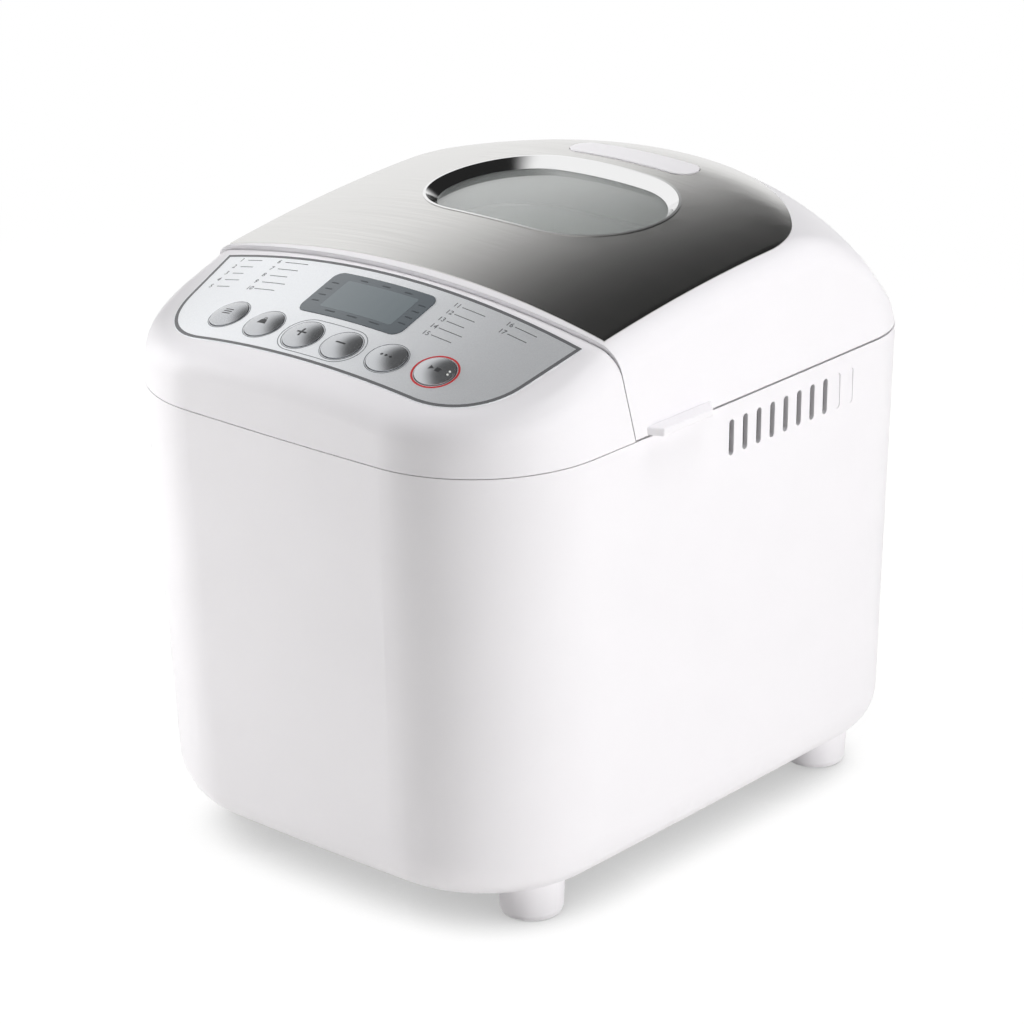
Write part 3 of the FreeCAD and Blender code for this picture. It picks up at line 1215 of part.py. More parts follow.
shaft_bore, bush_crest = "drive_shaft_radius + running_gap", "sheet_thickness + bush_rise"
flange_foot = "-chassis_thickness - bush_flange_thickness"
drive_bush_profile = [(shaft_bore, "-bush_drop"), ("bush_radius + bush_step", "-bush_drop"),
                      ("bush_radius + bush_step", flange_foot), ("bush_flange", flange_foot),
                      ("bush_flange", "-chassis_thickness"), ("bush_radius", "-chassis_thickness"),
                      ("bush_radius", bush_crest), (shaft_bore, bush_crest)]
keep("drive_bush", turned("bush_body", drive_bush_profile, "0", "chamber_offset", "chassis_top"))
keep("drive_shaft", rod("drive_spindle", "drive_shaft_radius", "dog_top - pulley_under - seat_gap", "0",
                        "chamber_offset", "pulley_under"))
dog_disc = rod("dog_disc", "dog_radius", "dog_thickness", "0", "chamber_offset", "dog_under")
post_side = "(wing_width / 2 + post_radius + seat_gap)"
posts = [rod("dog_post_%d" % k, "post_radius", "post_height + dog_thickness", sign + "post_spread",
             "chamber_offset %s %s" % (other, post_side), "dog_under")
         for k, (sign, other) in enumerate((("", "-"), ("-", "+")))]
dog_bore = rod("dog_bore", shaft_bore, "3 * dog_thickness", "0", "chamber_offset",
               "dog_under - dog_thickness")
keep("drive_dog", joined("dog", [less("dog_plate", dog_disc, dog_bore)] + posts))

# Power electronics on the bottom plate.

power_y = "(standoff_radius - motor_setback)"
standoffs = [rod("standoff_%d" % (2 * row + column), "standoff_radius", "standoff_height",
                 "-power_offset %s (power_width / 2 - 2 * standoff_radius)" % sx,
                 "%s %s (power_depth / 2 - 2 * standoff_radius)" % (power_y, sy), "base_top")
             for row, sy in enumerate(("-", "+")) for column, sx in enumerate(("-", "+"))]
keep("board_standoffs", joined("standoff_set", standoffs))
keep("power_board", box("power_sheet", "power_width", "power_depth", "board_thickness", "-power_offset",
                        power_y, "power_level"))

# Each block on the board and its place from the board's middle.
BLOCKS = {"transformer": ("-power_width / 5", "power_depth / 6"),
          "relay": ("power_width / 4", "power_depth / 4"),
          "terminal": ("-power_width / 5", "-power_depth / 3")}
board_top = "power_level + board_thickness"
components = [box(name, name + "_width", name + "_depth", name + "_height", "-power_offset + " + x,
                  power_y + " + " + y, board_top) for name, (x, y) in BLOCKS.items()]
components.append(rod("capacitor", "capacitor_radius", "capacitor_height", "-power_offset + power_width / 5",
                      power_y + " - power_depth / 4", board_top))
keep("power_components", joined("component_set", components))

doc.recompute()
for item in doc.Objects:
    if {"Invalid", "Error"} & set(item.State):
        raise RuntimeError("%s failed: %s" % (item.Label, item.State))
for node, item in parts.items():
    if item.Shape.isNull() or not item.Shape.isValid() or not item.Shape.Solids:
        raise RuntimeError("%s has no valid solid" % node)

os.makedirs("parts", exist_ok=True)
for node, item in parts.items():
    item.Shape.exportStep("parts/%s.step" % node)
    print(node, len(item.Shape.Solids), round(item.Shape.Volume))
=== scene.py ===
import json
import math

import bmesh
import bpy
from bpy.props import FloatProperty, FloatVectorProperty, PointerProperty
from mathutils import Matrix, Vector
from mathutils.bvhtree import BVHTree


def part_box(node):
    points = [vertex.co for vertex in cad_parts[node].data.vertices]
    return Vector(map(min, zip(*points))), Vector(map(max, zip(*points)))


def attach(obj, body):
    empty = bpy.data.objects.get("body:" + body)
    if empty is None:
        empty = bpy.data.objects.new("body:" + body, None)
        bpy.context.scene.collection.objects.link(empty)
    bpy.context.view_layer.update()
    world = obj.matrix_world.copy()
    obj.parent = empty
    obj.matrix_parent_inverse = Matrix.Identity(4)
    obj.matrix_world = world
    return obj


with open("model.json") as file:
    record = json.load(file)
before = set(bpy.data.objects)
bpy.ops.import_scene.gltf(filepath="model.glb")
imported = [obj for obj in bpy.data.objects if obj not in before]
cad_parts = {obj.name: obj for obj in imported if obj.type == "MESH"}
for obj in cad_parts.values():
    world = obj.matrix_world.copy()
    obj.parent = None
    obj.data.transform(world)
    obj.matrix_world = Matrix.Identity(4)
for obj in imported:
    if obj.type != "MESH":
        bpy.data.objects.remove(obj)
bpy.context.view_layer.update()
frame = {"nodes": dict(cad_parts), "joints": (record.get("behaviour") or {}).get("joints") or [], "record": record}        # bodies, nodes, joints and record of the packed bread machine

bl_info = {
    "name": "Bread Machine Finish",
    "version": (1, 0, 0),
    "blender": (4, 5, 0),
    "location": "View3D > Sidebar > Bread Machine",
    "description": "Finishes a bread machine: materials, panel print, display, key marks and a studio",
    "category": "Object",
}

MM = 0.001
JOINTS = {joint["name"]: joint for joint in frame["joints"]}
KEYS = ("menu", "weight", "plus", "minus", "colour", "start")
METAL = {"Metallic": 1.0}


def linear(code):
    """Linear colour from an sRGB hex value."""
    channels = [int(code[k:k + 2], 16) / 255 for k in (0, 2, 4)]
    return tuple(c / 12.92 if c <= 0.04045 else ((c + 0.055) / 1.055) ** 2.4 for c in channels)


def length(name, description, millimetres):
    """A length that a user can change, given in millimetres."""
    return FloatProperty(name=name, description=description, default=millimetres * MM, min=0.0,
                         unit="LENGTH", subtype="DISTANCE", precision=5)


def colour(name, description, code):
    """A colour that a user can change, given as an sRGB hex value."""
    return FloatVectorProperty(name=name, description=description, default=linear(code), min=0.0, max=1.0,
                               size=3, subtype="COLOR")


class BreadCasingSettings(bpy.types.PropertyGroup):
    """Looks of the white casing."""
    white: colour("White", "Colour of the moulded casing", "F4F2F5")
    shade: colour("Shade", "Second tone of the moulded casing", "F0EEF1")
    cloud: length("Cloud", "Size of the faint tone changes in the moulding", 45)
    peel: length("Peel", "Width of the faint ripples left by the mould", 2.5)
    edge: length("Edge", "Radius at which moulded edges catch the light", 0.35)


class BreadLidSettings(bpy.types.PropertyGroup):
    """Looks of the steel, the window and the vent cap on the lid."""
    steel: colour("Steel", "Colour of the brushed steel", "EDECEA")
    groove: colour("Groove", "Colour in the brush lines", "DAD9D7")
    line_width: length("Line width", "Width of one brush line", 0.7)
    line_length: length("Line length", "Length of one brush line", 90)
    glass: colour("Glass", "Tint of the window panes", "EEF2F0")


class BreadPanelSettings(bpy.types.PropertyGroup):
    """Looks and print of the control panel."""
    film: colour("Film", "Colour of the panel film", "F8FAFD")
    ink: colour("Ink", "Colour of the border", "6A6B6D")
    legend: colour("Legend", "Colour of the programme numbers", "55575A")
    ink_depth: length("Ink depth", "Thickness of the printed ink", 0.06)
    border_width: length("Border width", "Width of the line round the panel", 1.7)
    border_inset: length("Border inset", "Bare film outside the border line", 0.25)
    number_height: length("Number height", "Height of the programme numbers", 2.9)
    line_pitch: length("Line pitch", "Distance between programme lines", 5.7)
    rule_start: length("Rule start", "From a number's left edge to its rule", 5.2)


class BreadDisplaySettings(bpy.types.PropertyGroup):
    """Looks of the display."""
    lens: colour("Lens", "Colour of the smoked lens", "555D63")
    screen: colour("Screen", "Colour of the screen at rest", "6C767B")
    mark: colour("Mark", "Colour of the marks on the lens", "363C41")
    screen_width: length("Screen width", "Width of the screen", 45)
    screen_depth: length("Screen depth", "Depth of the screen along the slope", 21.5)
    screen_corner: length("Screen corner", "Corner radius of the screen", 1.2)
    screen_shift: length("Screen shift", "How far right of the panel's middle the screen sits", 1.2)
    mark_width: length("Mark width", "Width of a mark on the lens", 0.7)
    mark_gap: length("Mark gap", "From the screen to the marks above and below it", 1.9)
    mark_pitch: length("Mark pitch", "Distance between the marks above and below the screen", 14)
    upper_mark: length("Upper mark", "Length of a mark above the screen", 4.5)
    lower_mark: length("Lower mark", "Length of a mark below the screen", 6)
    side_mark: length("Side mark", "Length of a mark beside the screen", 4.2)
    side_pitch: length("Side pitch", "Distance between the marks beside the screen", 4.88636)


class BreadKeySettings(bpy.types.PropertyGroup):
    """Looks of the push buttons and of the print round them."""
    metal: colour("Metal", "Colour of the metallised buttons", "C9CBCE")
    outline: colour("Outline", "Colour of the lines round the buttons", "7B7E82")
    symbol: colour("Symbol", "Colour of the symbols", "3A3B3D")
    red: colour("Red", "Colour of the ring round the start button", "C4373B")
    cap: length("Cap", "Diameter of a button", 19.5)
    play: length("Play", "Room round a button in its hole", 0.4)
    frame_gap: length("Frame gap", "Bare film between two holes and the line round both", 1.9)
    ring_gap: length("Ring gap", "Bare film between a button's hole and its line", 0.35)
    ring_width: length("Ring width", "Width of the line round a button", 0.4)
    red_width: length("Red width", "Width of the red ring", 1.0)
    lamp: length("Lamp", "Diameter of an indicator lamp", 1.0)
    lamp_height: length("Lamp height", "How far an indicator lamp stands out", 0.24)


class BreadStageSettings(bpy.types.PropertyGroup):
    """Studio: floor, lamps, net, surroundings and camera."""
    floor: colour("Floor", "Colour of the floor", "F2F1EF")
    floor_radius: length("Floor radius", "Radius of the floor", 6000)
    fade_start: length("Fade start", "How far from the machine's middle the floor starts to turn white", 350)
    fade_end: length("Fade end", "How far from the machine's middle the floor is white", 1100)
    top_up: FloatProperty(name="Top-up", description="Light of the floor itself as the eye sees it",
                          default=0.93, min=0.0)
    shadow: FloatProperty(name="Shadow", description="How strongly the lamps' shadows show on the floor",
                          default=0.12, min=0.0, max=1.0)
    # Shadow reach and contact set a painted contact shadow: the floor's own glow is dimmed by ambient
    # occlusion under the machine.
    shadow_reach: length("Shadow reach", "How far the contact shadow spreads", 45)
    contact: FloatProperty(name="Contact", description="Share of the top-up left right under the machine",
                           default=0.5, min=0.0, max=1.0)
    left_power: FloatProperty(name="Left lamp", description="Power of the lamp at the left", default=40.5,
                              min=0.0, unit="POWER")
    right_power: FloatProperty(name="Right lamp", description="Power of the lamp at the right", default=13.0,
                               min=0.0, unit="POWER")
    top_power: FloatProperty(name="Top lamp", description="Power of the lamp overhead", default=12.0, min=0.0,
                             unit="POWER")
    scrim: FloatProperty(name="Scrim", description="Share of the left lamp's light that its net lets through",
                         default=0.18, min=0.0, max=1.0)
    scrim_gap: length("Scrim gap", "From the machine's left side to the net", 90)
    scrim_foot: length("Scrim foot", "From the casing's underside to the net's lower edge", 34)
    scrim_ahead: length("Scrim ahead", "From the net's front edge to the casing's front", 42)
    fill: FloatProperty(name="Fill", description="Level of the light from all round", default=0.06, min=0.0)
    focal_length: FloatProperty(name="Focal length", description="Focal length of the camera in millimetres",
                                default=139.05, min=1.0)
    sensor_width: FloatProperty(name="Sensor width", description="Width of its sensor in millimetres",
                                default=36.0, min=1.0)
    yaw: FloatProperty(name="Yaw", description="Turn of the camera to the right", default=math.radians(41.64),
                       subtype="ANGLE", unit="ROTATION")
    pitch: FloatProperty(name="Pitch", description="How far the camera looks down",
                         default=math.radians(21.26), subtype="ANGLE", unit="ROTATION")
    roll: FloatProperty(name="Roll", description="Tilt of the camera about its own axis",
                        default=math.radians(-0.96), subtype="ANGLE", unit="ROTATION")
    distance: length("Distance", "From the camera to the middle of the machine", 1955.36)
    aim_height: length("Aim height", "Height of the point that the camera looks at", 150)
    aim_left: length("Aim left", "How far left of that point the camera is moved", 4.0)


# Materials.


def feed(tree, node, inputs):
    """Set a node's inputs; each takes a value or the output that feeds it."""
    for name, value in inputs.items():
        if isinstance(value, bpy.types.NodeSocket):
            tree.links.new(value, node.inputs[name])
        else:
            node.inputs[name].default_value = value


def add_node(tree, kind, inputs=None, **settings):
    """A node with its settings and inputs."""
    node = tree.nodes.new("ShaderNode" + kind)
    for name, value in settings.items():
        setattr(node, name, value)
    feed(tree, node, inputs or {})
    return node


def opaque(rgb):
    """A colour with full alpha, as the sockets take it."""
    return (*rgb, 1.0)


def new_material(name, rgb, sockets):
    """A material with one principled shader whose sockets are set by name."""
    material = bpy.data.materials.new(name)
    material.use_nodes = True
    tree = material.node_tree
    shader = tree.nodes["Principled BSDF"]
    feed(tree, shader, {"Base Color": opaque(rgb), **sockets})
    return material, tree, shader


def moulded_white_abs(look):
    """White ABS, moulded in a polished tool."""
    # An even white with a soft gloss; faint ripples and tone changes keep large faces from looking drawn.
    material, tree, shader = new_material("moulded_white_abs", look.white, {"IOR": 1.53})
    place = add_node(tree, "TexCoord").outputs["Object"]
    cloud = add_node(tree, "TexNoise", {"Vector": place, "Scale": 1 / look.cloud, "Detail": 2.0})
    tone = add_node(tree, "Mix", {0: cloud.outputs["Fac"], 6: opaque(look.white), 7: opaque(look.shade)},
                    data_type="RGBA")
    gloss = add_node(tree, "MapRange", {"Value": cloud.outputs["Fac"], "To Min": 0.29, "To Max": 0.39})
    peel = add_node(tree, "TexNoise", {"Vector": place, "Scale": 1 / look.peel, "Detail": 1.0})
    soft_edge = add_node(tree, "Bevel", {"Radius": look.edge}, samples=4)
    ripple = add_node(tree, "Bump", {"Height": peel.outputs["Fac"], "Strength": 0.25, "Distance": 0.01 * MM,
                                     "Normal": soft_edge.outputs["Normal"]})
    feed(tree, shader, {"Base Color": tone.outputs[2], "Roughness": gloss.outputs["Result"],
                        "Normal": ripple.outputs["Normal"]})
    return material


def brushed_stainless_steel(look):
    """Stainless steel sheet, brushed across the width."""
    # Long fine lines that stretch reflections across them. Real lines are about 0.1 mm wide; these are drawn
    # wider so that they show in the picture.
    material, tree, shader = new_material("brushed_stainless_steel", look.steel,
                                          {"Metallic": 1.0, "Anisotropic": 0.55})
    place = add_node(tree, "TexCoord").outputs["Object"]
    stretched = add_node(tree, "VectorMath", {0: place, 1: (1 / look.line_length, 1 / look.line_width, 0.0)},
                         operation="MULTIPLY")
    lines = add_node(tree, "TexNoise", {"Vector": stretched.outputs["Vector"], "Scale": 1.0, "Detail": 4.0,
                                        "Roughness": 0.65})
    tone = add_node(tree, "Mix", {0: lines.outputs["Fac"], 6: opaque(look.groove), 7: opaque(look.steel)},
                    data_type="RGBA")
    gloss = add_node(tree, "MapRange", {"Value": lines.outputs["Fac"], "From Min": 0.3, "From Max": 0.7,
                                        "To Min": 0.25, "To Max": 0.19})
    relief = add_node(tree, "Bump", {"Height": lines.outputs["Fac"], "Strength": 0.2, "Distance": 0.01 * MM})
    along = add_node(tree, "CombineXYZ", {"X": 1.0})
    feed(tree, shader, {"Base Color": tone.outputs[2], "Roughness": gloss.outputs["Result"],
                        "Normal": relief.outputs["Normal"], "Tangent": along.outputs["Vector"]})
    return material


def polished_stainless_steel():
    """Stainless steel, pressed and polished."""
    # A near mirror with a faint haze from the polishing mop.
    material, tree, shader = new_material("polished_stainless_steel", linear("F0F0F0"), METAL)
    place = add_node(tree, "TexCoord").outputs["Object"]
    haze = add_node(tree, "TexNoise", {"Vector": place, "Scale": 1 / (6 * MM), "Detail": 3.0})
    gloss = add_node(tree, "MapRange", {"Value": haze.outputs["Fac"], "To Min": 0.06, "To Max": 0.16})
    feed(tree, shader, {"Roughness": gloss.outputs["Result"]})
    return material


def clear_float_glass(look):
    """Clear toughened float glass."""
    # See-through with sharp reflections, and the milky haze that steam and flour leave.
    material, tree, shader = new_material("clear_float_glass", look.glass,
                                          {"IOR": 1.52, "Transmission Weight": 0.79})
    place = add_node(tree, "TexCoord").outputs["Object"]
    haze = add_node(tree, "TexNoise", {"Vector": place, "Scale": 1 / (25 * MM), "Detail": 3.0})
    gloss = add_node(tree, "MapRange", {"Value": haze.outputs["Fac"], "To Min": 0.0, "To Max": 0.05})
    feed(tree, shader, {"Roughness": gloss.outputs["Result"]})
    return material


def silver_printed_film(look):
    """Polyester film, printed silver on its back."""
    # Aluminium flakes under a satin film: bright towards the light and grey away from it.
    material, tree, shader = new_material("silver_printed_film", look.film, {"Metallic": 0.6})
    place = add_node(tree, "TexCoord").outputs["Object"]
    flakes = add_node(tree, "TexVoronoi", {"Vector": place, "Scale": 1 / (0.35 * MM)})
    level = add_node(tree, "MapRange", {"Value": flakes.outputs["Color"], "To Min": 0.95, "To Max": 1.05})
    sparkle = add_node(tree, "HueSaturation", {"Color": opaque(look.film), "Value": level.outputs["Result"]})
    gloss = add_node(tree, "MapRange", {"Value": flakes.outputs["Color"], "To Min": 0.3, "To Max": 0.36})
    feed(tree, shader, {"Base Color": sparkle.outputs["Color"], "Roughness": gloss.outputs["Result"]})
    return material


def smoked_acrylic(look):
    """Smoked acrylic, printed on its back."""
    # Flat blue-grey under a sharp gloss, a little lighter where the print thins out.
    material, tree, shader = new_material("smoked_acrylic", look.lens,
                                          {"IOR": 1.49, "Roughness": 0.12, "Coat Weight": 0.6})
    place = add_node(tree, "TexCoord").outputs["Object"]
    print_depth = add_node(tree, "TexNoise", {"Vector": place, "Scale": 1 / (18 * MM), "Detail": 2.0})
    level = add_node(tree, "MapRange", {"Value": print_depth.outputs["Fac"], "To Min": 0.94, "To Max": 1.06})
    tone = add_node(tree, "HueSaturation", {"Color": opaque(look.lens), "Value": level.outputs["Result"]})
    feed(tree, shader, {"Base Color": tone.outputs["Color"]})
    return material


def liquid_crystal_glass(look):
    """Reflective liquid crystal glass at rest."""
    # A grey field with a fine grid of cells, under glossy glass.
    material, tree, shader = new_material("liquid_crystal_glass", look.screen,
                                          {"Roughness": 0.16, "Coat Weight": 0.5})
    place = add_node(tree, "TexCoord").outputs["Object"]
    cells = add_node(tree, "TexBrick", {"Vector": place, "Scale": 1 / (1.6 * MM), "Mortar Size": 0.03,
                                        "Color1": opaque(look.screen), "Color2": opaque(look.screen),
                                        "Mortar": opaque([0.94 * c for c in look.screen])}, offset=0.0)
    feed(tree, shader, {"Base Color": cells.outputs["Color"]})
    return material


def metallised_plastic(look):
    """ABS with a satin metallised lacquer."""
    # Reads as metal with soft reflections, and a fine grain in the lacquer.
    material, tree, shader = new_material("metallised_plastic", look.metal, {"Metallic": 0.85})
    place = add_node(tree, "TexCoord").outputs["Object"]
    grain = add_node(tree, "TexNoise", {"Vector": place, "Scale": 1 / (0.5 * MM), "Detail": 2.0})
    gloss = add_node(tree, "MapRange", {"Value": grain.outputs["Fac"], "To Min": 0.19, "To Max": 0.26})
    feed(tree, shader, {"Roughness": gloss.outputs["Result"]})
    return material


def screen_ink(name, rgb):
    """Screen-printed ink."""
    # Dense and satin, with a faint unevenness from the mesh of the screen.
    material, tree, shader = new_material("screen_ink_" + name, rgb, {"Roughness": 0.42})
    place = add_node(tree, "TexCoord").outputs["Object"]
    mesh = add_node(tree, "TexNoise", {"Vector": place, "Scale": 1 / (0.8 * MM), "Detail": 1.0})
    level = add_node(tree, "MapRange", {"Value": mesh.outputs["Fac"], "To Min": 0.92, "To Max": 1.08})
    tone = add_node(tree, "HueSaturation", {"Color": opaque(rgb), "Value": level.outputs["Result"]})
    feed(tree, shader, {"Base Color": tone.outputs["Color"]})
    return material


def clear_lamp_epoxy():
    """Water-clear epoxy of a small indicator lamp."""
    # A bright milky bead with a sharp gloss.
    material, tree, shader = new_material("clear_lamp_epoxy", linear("F2F2EE"), {"IOR": 1.55})
    rim = add_node(tree, "LayerWeight", {"Blend": 0.4})
    sheen = add_node(tree, "MapRange", {"Value": rim.outputs["Facing"], "To Min": 0.08, "To Max": 0.22})
    feed(tree, shader, {"Roughness": sheen.outputs["Result"]})
    return material


def grained(name, code, second, grain, rough, sockets=None, relief=0.0):
    """A finish of two tones in a fine grain, which also varies its gloss and may stand in relief."""
    material, tree, shader = new_material(name, linear(code), sockets or {})
    place = add_node(tree, "TexCoord").outputs["Object"]
    noise = add_node(tree, "TexNoise", {"Vector": place, "Scale": 1 / (grain * MM), "Detail": 3.0})
    tone = add_node(tree, "Mix", {0: noise.outputs["Fac"], 6: opaque(linear(code)),
                                  7: opaque(linear(second))}, data_type="RGBA")
    gloss = add_node(tree, "MapRange", {"Value": noise.outputs["Fac"], "From Min": 0.3, "From Max": 0.7,
                                        "To Min": rough[0], "To Max": rough[1]})
    feed(tree, shader, {"Base Color": tone.outputs[2], "Roughness": gloss.outputs["Result"]})
    if relief:
        bump = add_node(tree, "Bump", {"Height": noise.outputs["Fac"], "Strength": 0.4,
                                       "Distance": relief * MM})
        feed(tree, shader, {"Normal": bump.outputs["Normal"]})
    return material


def galvanised_sheet():
    """Hot-dip galvanised steel sheet."""
    # Zinc freezes in flat crystals of a few millimetres, each with its own grey and gloss.
    material, tree, shader = new_material("galvanised_sheet", linear("A9AEB2"), METAL)
    place = add_node(tree, "TexCoord").outputs["Object"]
    crystals = add_node(tree, "TexVoronoi", {"Vector": place, "Scale": 1 / (7 * MM)})
    tone = add_node(tree, "Mix", {0: crystals.outputs["Color"], 6: opaque(linear("979CA1")),
                                  7: opaque(linear("B9BDC0"))}, data_type="RGBA")
    gloss = add_node(tree, "MapRange", {"Value": crystals.outputs["Color"], "To Min": 0.3, "To Max": 0.48})
    feed(tree, shader, {"Base Color": tone.outputs[2], "Roughness": gloss.outputs["Result"]})
    return material


def speckled_nonstick():
    """Aluminium with a sprayed and baked non-stick coating."""
    # Near-black satin with a scatter of paler specks.
    material, tree, shader = new_material("speckled_nonstick", linear("2C2C2E"), {"Roughness": 0.38})
    place = add_node(tree, "TexCoord").outputs["Object"]
    specks = add_node(tree, "TexVoronoi", {"Vector": place, "Scale": 1 / (1.8 * MM)})
    dots = add_node(tree, "MapRange", {"Value": specks.outputs["Distance"], "From Min": 0.1, "From Max": 0.2,
                                       "To Min": 1.0, "To Max": 0.0})
    tone = add_node(tree, "Mix", {0: dots.outputs["Result"], 6: opaque(linear("2C2C2E")),
                                  7: opaque(linear("6E6E70"))}, data_type="RGBA")
    skin = add_node(tree, "TexNoise", {"Vector": place, "Scale": 1 / (0.6 * MM)})
    relief = add_node(tree, "Bump", {"Height": skin.outputs["Fac"], "Strength": 0.3, "Distance": 0.02 * MM})
    feed(tree, shader, {"Base Color": tone.outputs[2], "Normal": relief.outputs["Normal"]})
    return material


def solder_resist_board():
    """Glass-fibre board under green solder resist."""
    # Copper tracks show as a slightly paler green in straight runs.
    material, tree, shader = new_material("solder_resist_board", linear("1E5437"), {"Roughness": 0.35})
    place = add_node(tree, "TexCoord").outputs["Object"]
    tracks = add_node(tree, "TexBrick", {"Vector": place, "Scale": 1 / (9 * MM), "Mortar Size": 0.05,
                                         "Color1": opaque(linear("1B4E33")),
                                         "Color2": opaque(linear("205A3B")),
                                         "Mortar": opaque(linear("2F7350"))})
    feed(tree, shader, {"Base Color": tracks.outputs["Color"]})
    return material


def dress(slot, material):
    """Give one material to every node of a slot."""
    for part in frame["record"]["subparts"]:
        if part["material_slot"] == slot:
            mesh = frame["nodes"][part["node"]].data
            mesh.materials.clear()
            mesh.materials.append(material)


# Print and small pieces, drawn on a plane and laid on the surface under it.


class Ground:
    """A plane to draw on, with its first axis across the machine, and the node that lies under it."""

    # How far out the search for the surface starts, and the longest edge of a print laid on it.
    reach = 20 * MM
    longest = 1.6 * MM

    def __init__(self, node, place, normal, drop=None):
        out = Vector(normal).normalized()
        across = (Vector((1, 0, 0)) - out * out.x).normalized()
        self.place, self.across, self.up = Vector(place), across, out.cross(across)
        self.drop = Vector(drop or -out)
        self.surface = BVHTree.FromObject(frame["nodes"][node], bpy.context.evaluated_depsgraph_get())

    def land(self, u, v):
        """Where the surface lies under a point of the plane, or None beside it."""
        start = self.place + self.across * u + self.up * v - self.drop * self.reach
        return self.surface.ray_cast(start, self.drop)[0]


def to_object(name, mesh, material):
    """An object in the scene, made of a finished mesh and a material."""
    data = bpy.data.meshes.new(name)
    mesh.to_mesh(data)
    mesh.free()
    data.materials.append(material)
    piece = bpy.data.objects.new(name, data)
    bpy.context.scene.collection.objects.link(piece)
    return piece


def lay(name, faces, ground, depth, material, body):
    """A thin closed piece: faces drawn on the ground's plane, landed on its surface and given a depth."""
    mesh = bmesh.new()
    corners = {}
    for face in faces:
        for corner in face:
            if corner not in corners:
                corners[corner] = mesh.verts.new((*corner, 0.0))
        mesh.faces.new([corners[corner] for corner in face])
    bmesh.ops.triangulate(mesh, faces=mesh.faces[:])
    # Long edges are halved, so that the print follows a domed surface.
    while long_edges := [edge for edge in mesh.edges if edge.calc_length() > ground.longest]:
        bmesh.ops.subdivide_edges(mesh, edges=long_edges, cuts=1)
        bmesh.ops.triangulate(mesh, faces=mesh.faces[:])
    for corner in mesh.verts:
        spot = ground.land(corner.co.x, corner.co.y)
        if spot is None:
            raise RuntimeError("%s runs off its surface at %.4f, %.4f" % (name, corner.co.x, corner.co.y))
        corner.co = spot
    raised = bmesh.ops.extrude_face_region(mesh, geom=mesh.faces[:])["geom"]
    for item in raised:
        if isinstance(item, bmesh.types.BMVert):
            item.co -= ground.drop * depth
    bmesh.ops.recalc_face_normals(mesh, faces=mesh.faces[:])
    piece = to_object(name, mesh, material)
    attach(piece, body)


def circle(radius, centre=(0.0, 0.0), count=48):
    """Points round a circle."""
    turns = [2 * math.pi * k / count for k in range(count)]
    return [(centre[0] + radius * math.cos(a), centre[1] + radius * math.sin(a)) for a in turns]


def stadium(half_run, radius, count=48):
    """Points round two half circles joined by straight runs."""
    half = count // 2
    points = []
    for side in (1, -1):
        for k in range(half + 1):
            angle = math.pi * k / half - side * math.pi / 2
            points.append((side * half_run + radius * math.cos(angle), radius * math.sin(angle)))
    return points


def band(outer, inner):
    """Faces between two closed outlines with as many points each."""
    order = range(len(outer))
    return [(outer[k - 1], outer[k], inner[k], inner[k - 1]) for k in order]


def bar(u, v, width, height):
    """One upright rectangle about a middle."""
    return [(u - width / 2, v - height / 2), (u + width / 2, v - height / 2),
            (u + width / 2, v + height / 2), (u - width / 2, v + height / 2)]


def rounded_strips(centre, half_width, half_depth, corner, count=30):
    """Faces of a rectangle with round corners, cut in strips that are narrower towards its ends."""
    least = 0.1 * MM

    def reach(u):
        past = max(0.0, abs(u) - half_width + corner)
        return max(half_depth - corner + math.sqrt(max(0.0, corner ** 2 - past ** 2)), least)
    edges = [half_width * math.sin(math.pi * (k / count - 0.5)) for k in range(count + 1)]
    return [[(centre[0] + a, centre[1] - reach(a)), (centre[0] + b, centre[1] - reach(b)),
             (centre[0] + b, centre[1] + reach(b)), (centre[0] + a, centre[1] + reach(a))]
            for a, b in zip(edges, edges[1:])]


def inward(outline, distance):
    """A closed outline, given anticlockwise, moved inwards by a distance."""
    # Lower limit of the cosine by which a corner stretches the distance, so that sharp corners stay near.
    sharpest = 0.3
    moved = []
    for k, point in enumerate(outline):
        before, here, after = Vector(outline[k - 1]), Vector(point), Vector(outline[(k + 1) % len(outline)])
        into, out = (here - before).normalized(), (after - here).normalized()
        bisector = Vector((-into.y - out.y, into.x + out.x)).normalized()
        stretch = max(sharpest, bisector.dot(Vector((-into.y, into.x))))
        moved.append(tuple(here + bisector * (distance / stretch)))
    return moved


def lettering(text, height, u, v):
    """Faces of a number or sign in plain upright type, from its left foot."""
    # Height of a figure in the built-in type at size one.
    figure_share = 0.7
    curve = bpy.data.curves.new("lettering", "FONT")
    curve.body = text
    curve.size = height / figure_share
    curve.resolution_u = 3
    writer = bpy.data.objects.new("lettering", curve)
    bpy.context.scene.collection.objects.link(writer)
    bpy.context.view_layer.update()
    mesh = bpy.data.meshes.new_from_object(writer.evaluated_get(bpy.context.evaluated_depsgraph_get()))
    faces = [[(u + mesh.vertices[k].co.x, v + mesh.vertices[k].co.y) for k in face.vertices]
             for face in mesh.polygons]
    bpy.data.objects.remove(writer)
    bpy.data.curves.remove(curve)
    bpy.data.meshes.remove(mesh)
    return faces


def key_joint(key):
    """Place and outward direction of a button on the panel."""
    joint = JOINTS["button_%s_press" % key]
    return Vector(joint["pos_m"]), -Vector(joint["axis"])


def panel_ground(node="control_overlay"):
    """The panel as a plane whose origin is the middle of the row of buttons; print drops on it plumb."""
    place, out = key_joint("plus")
    slope = math.hypot(out.x, out.z)
    return Ground(node, (0.0, place.y, place.z), (0.0, out.y, slope), (0.0, 0.0, -1.0))


def on_slope(y):
    """Distance up the panel's slope from the row of buttons, for a place given along the machine's depth."""
    place, out = key_joint("plus")
    return (y - place.y) / math.hypot(out.x, out.z)


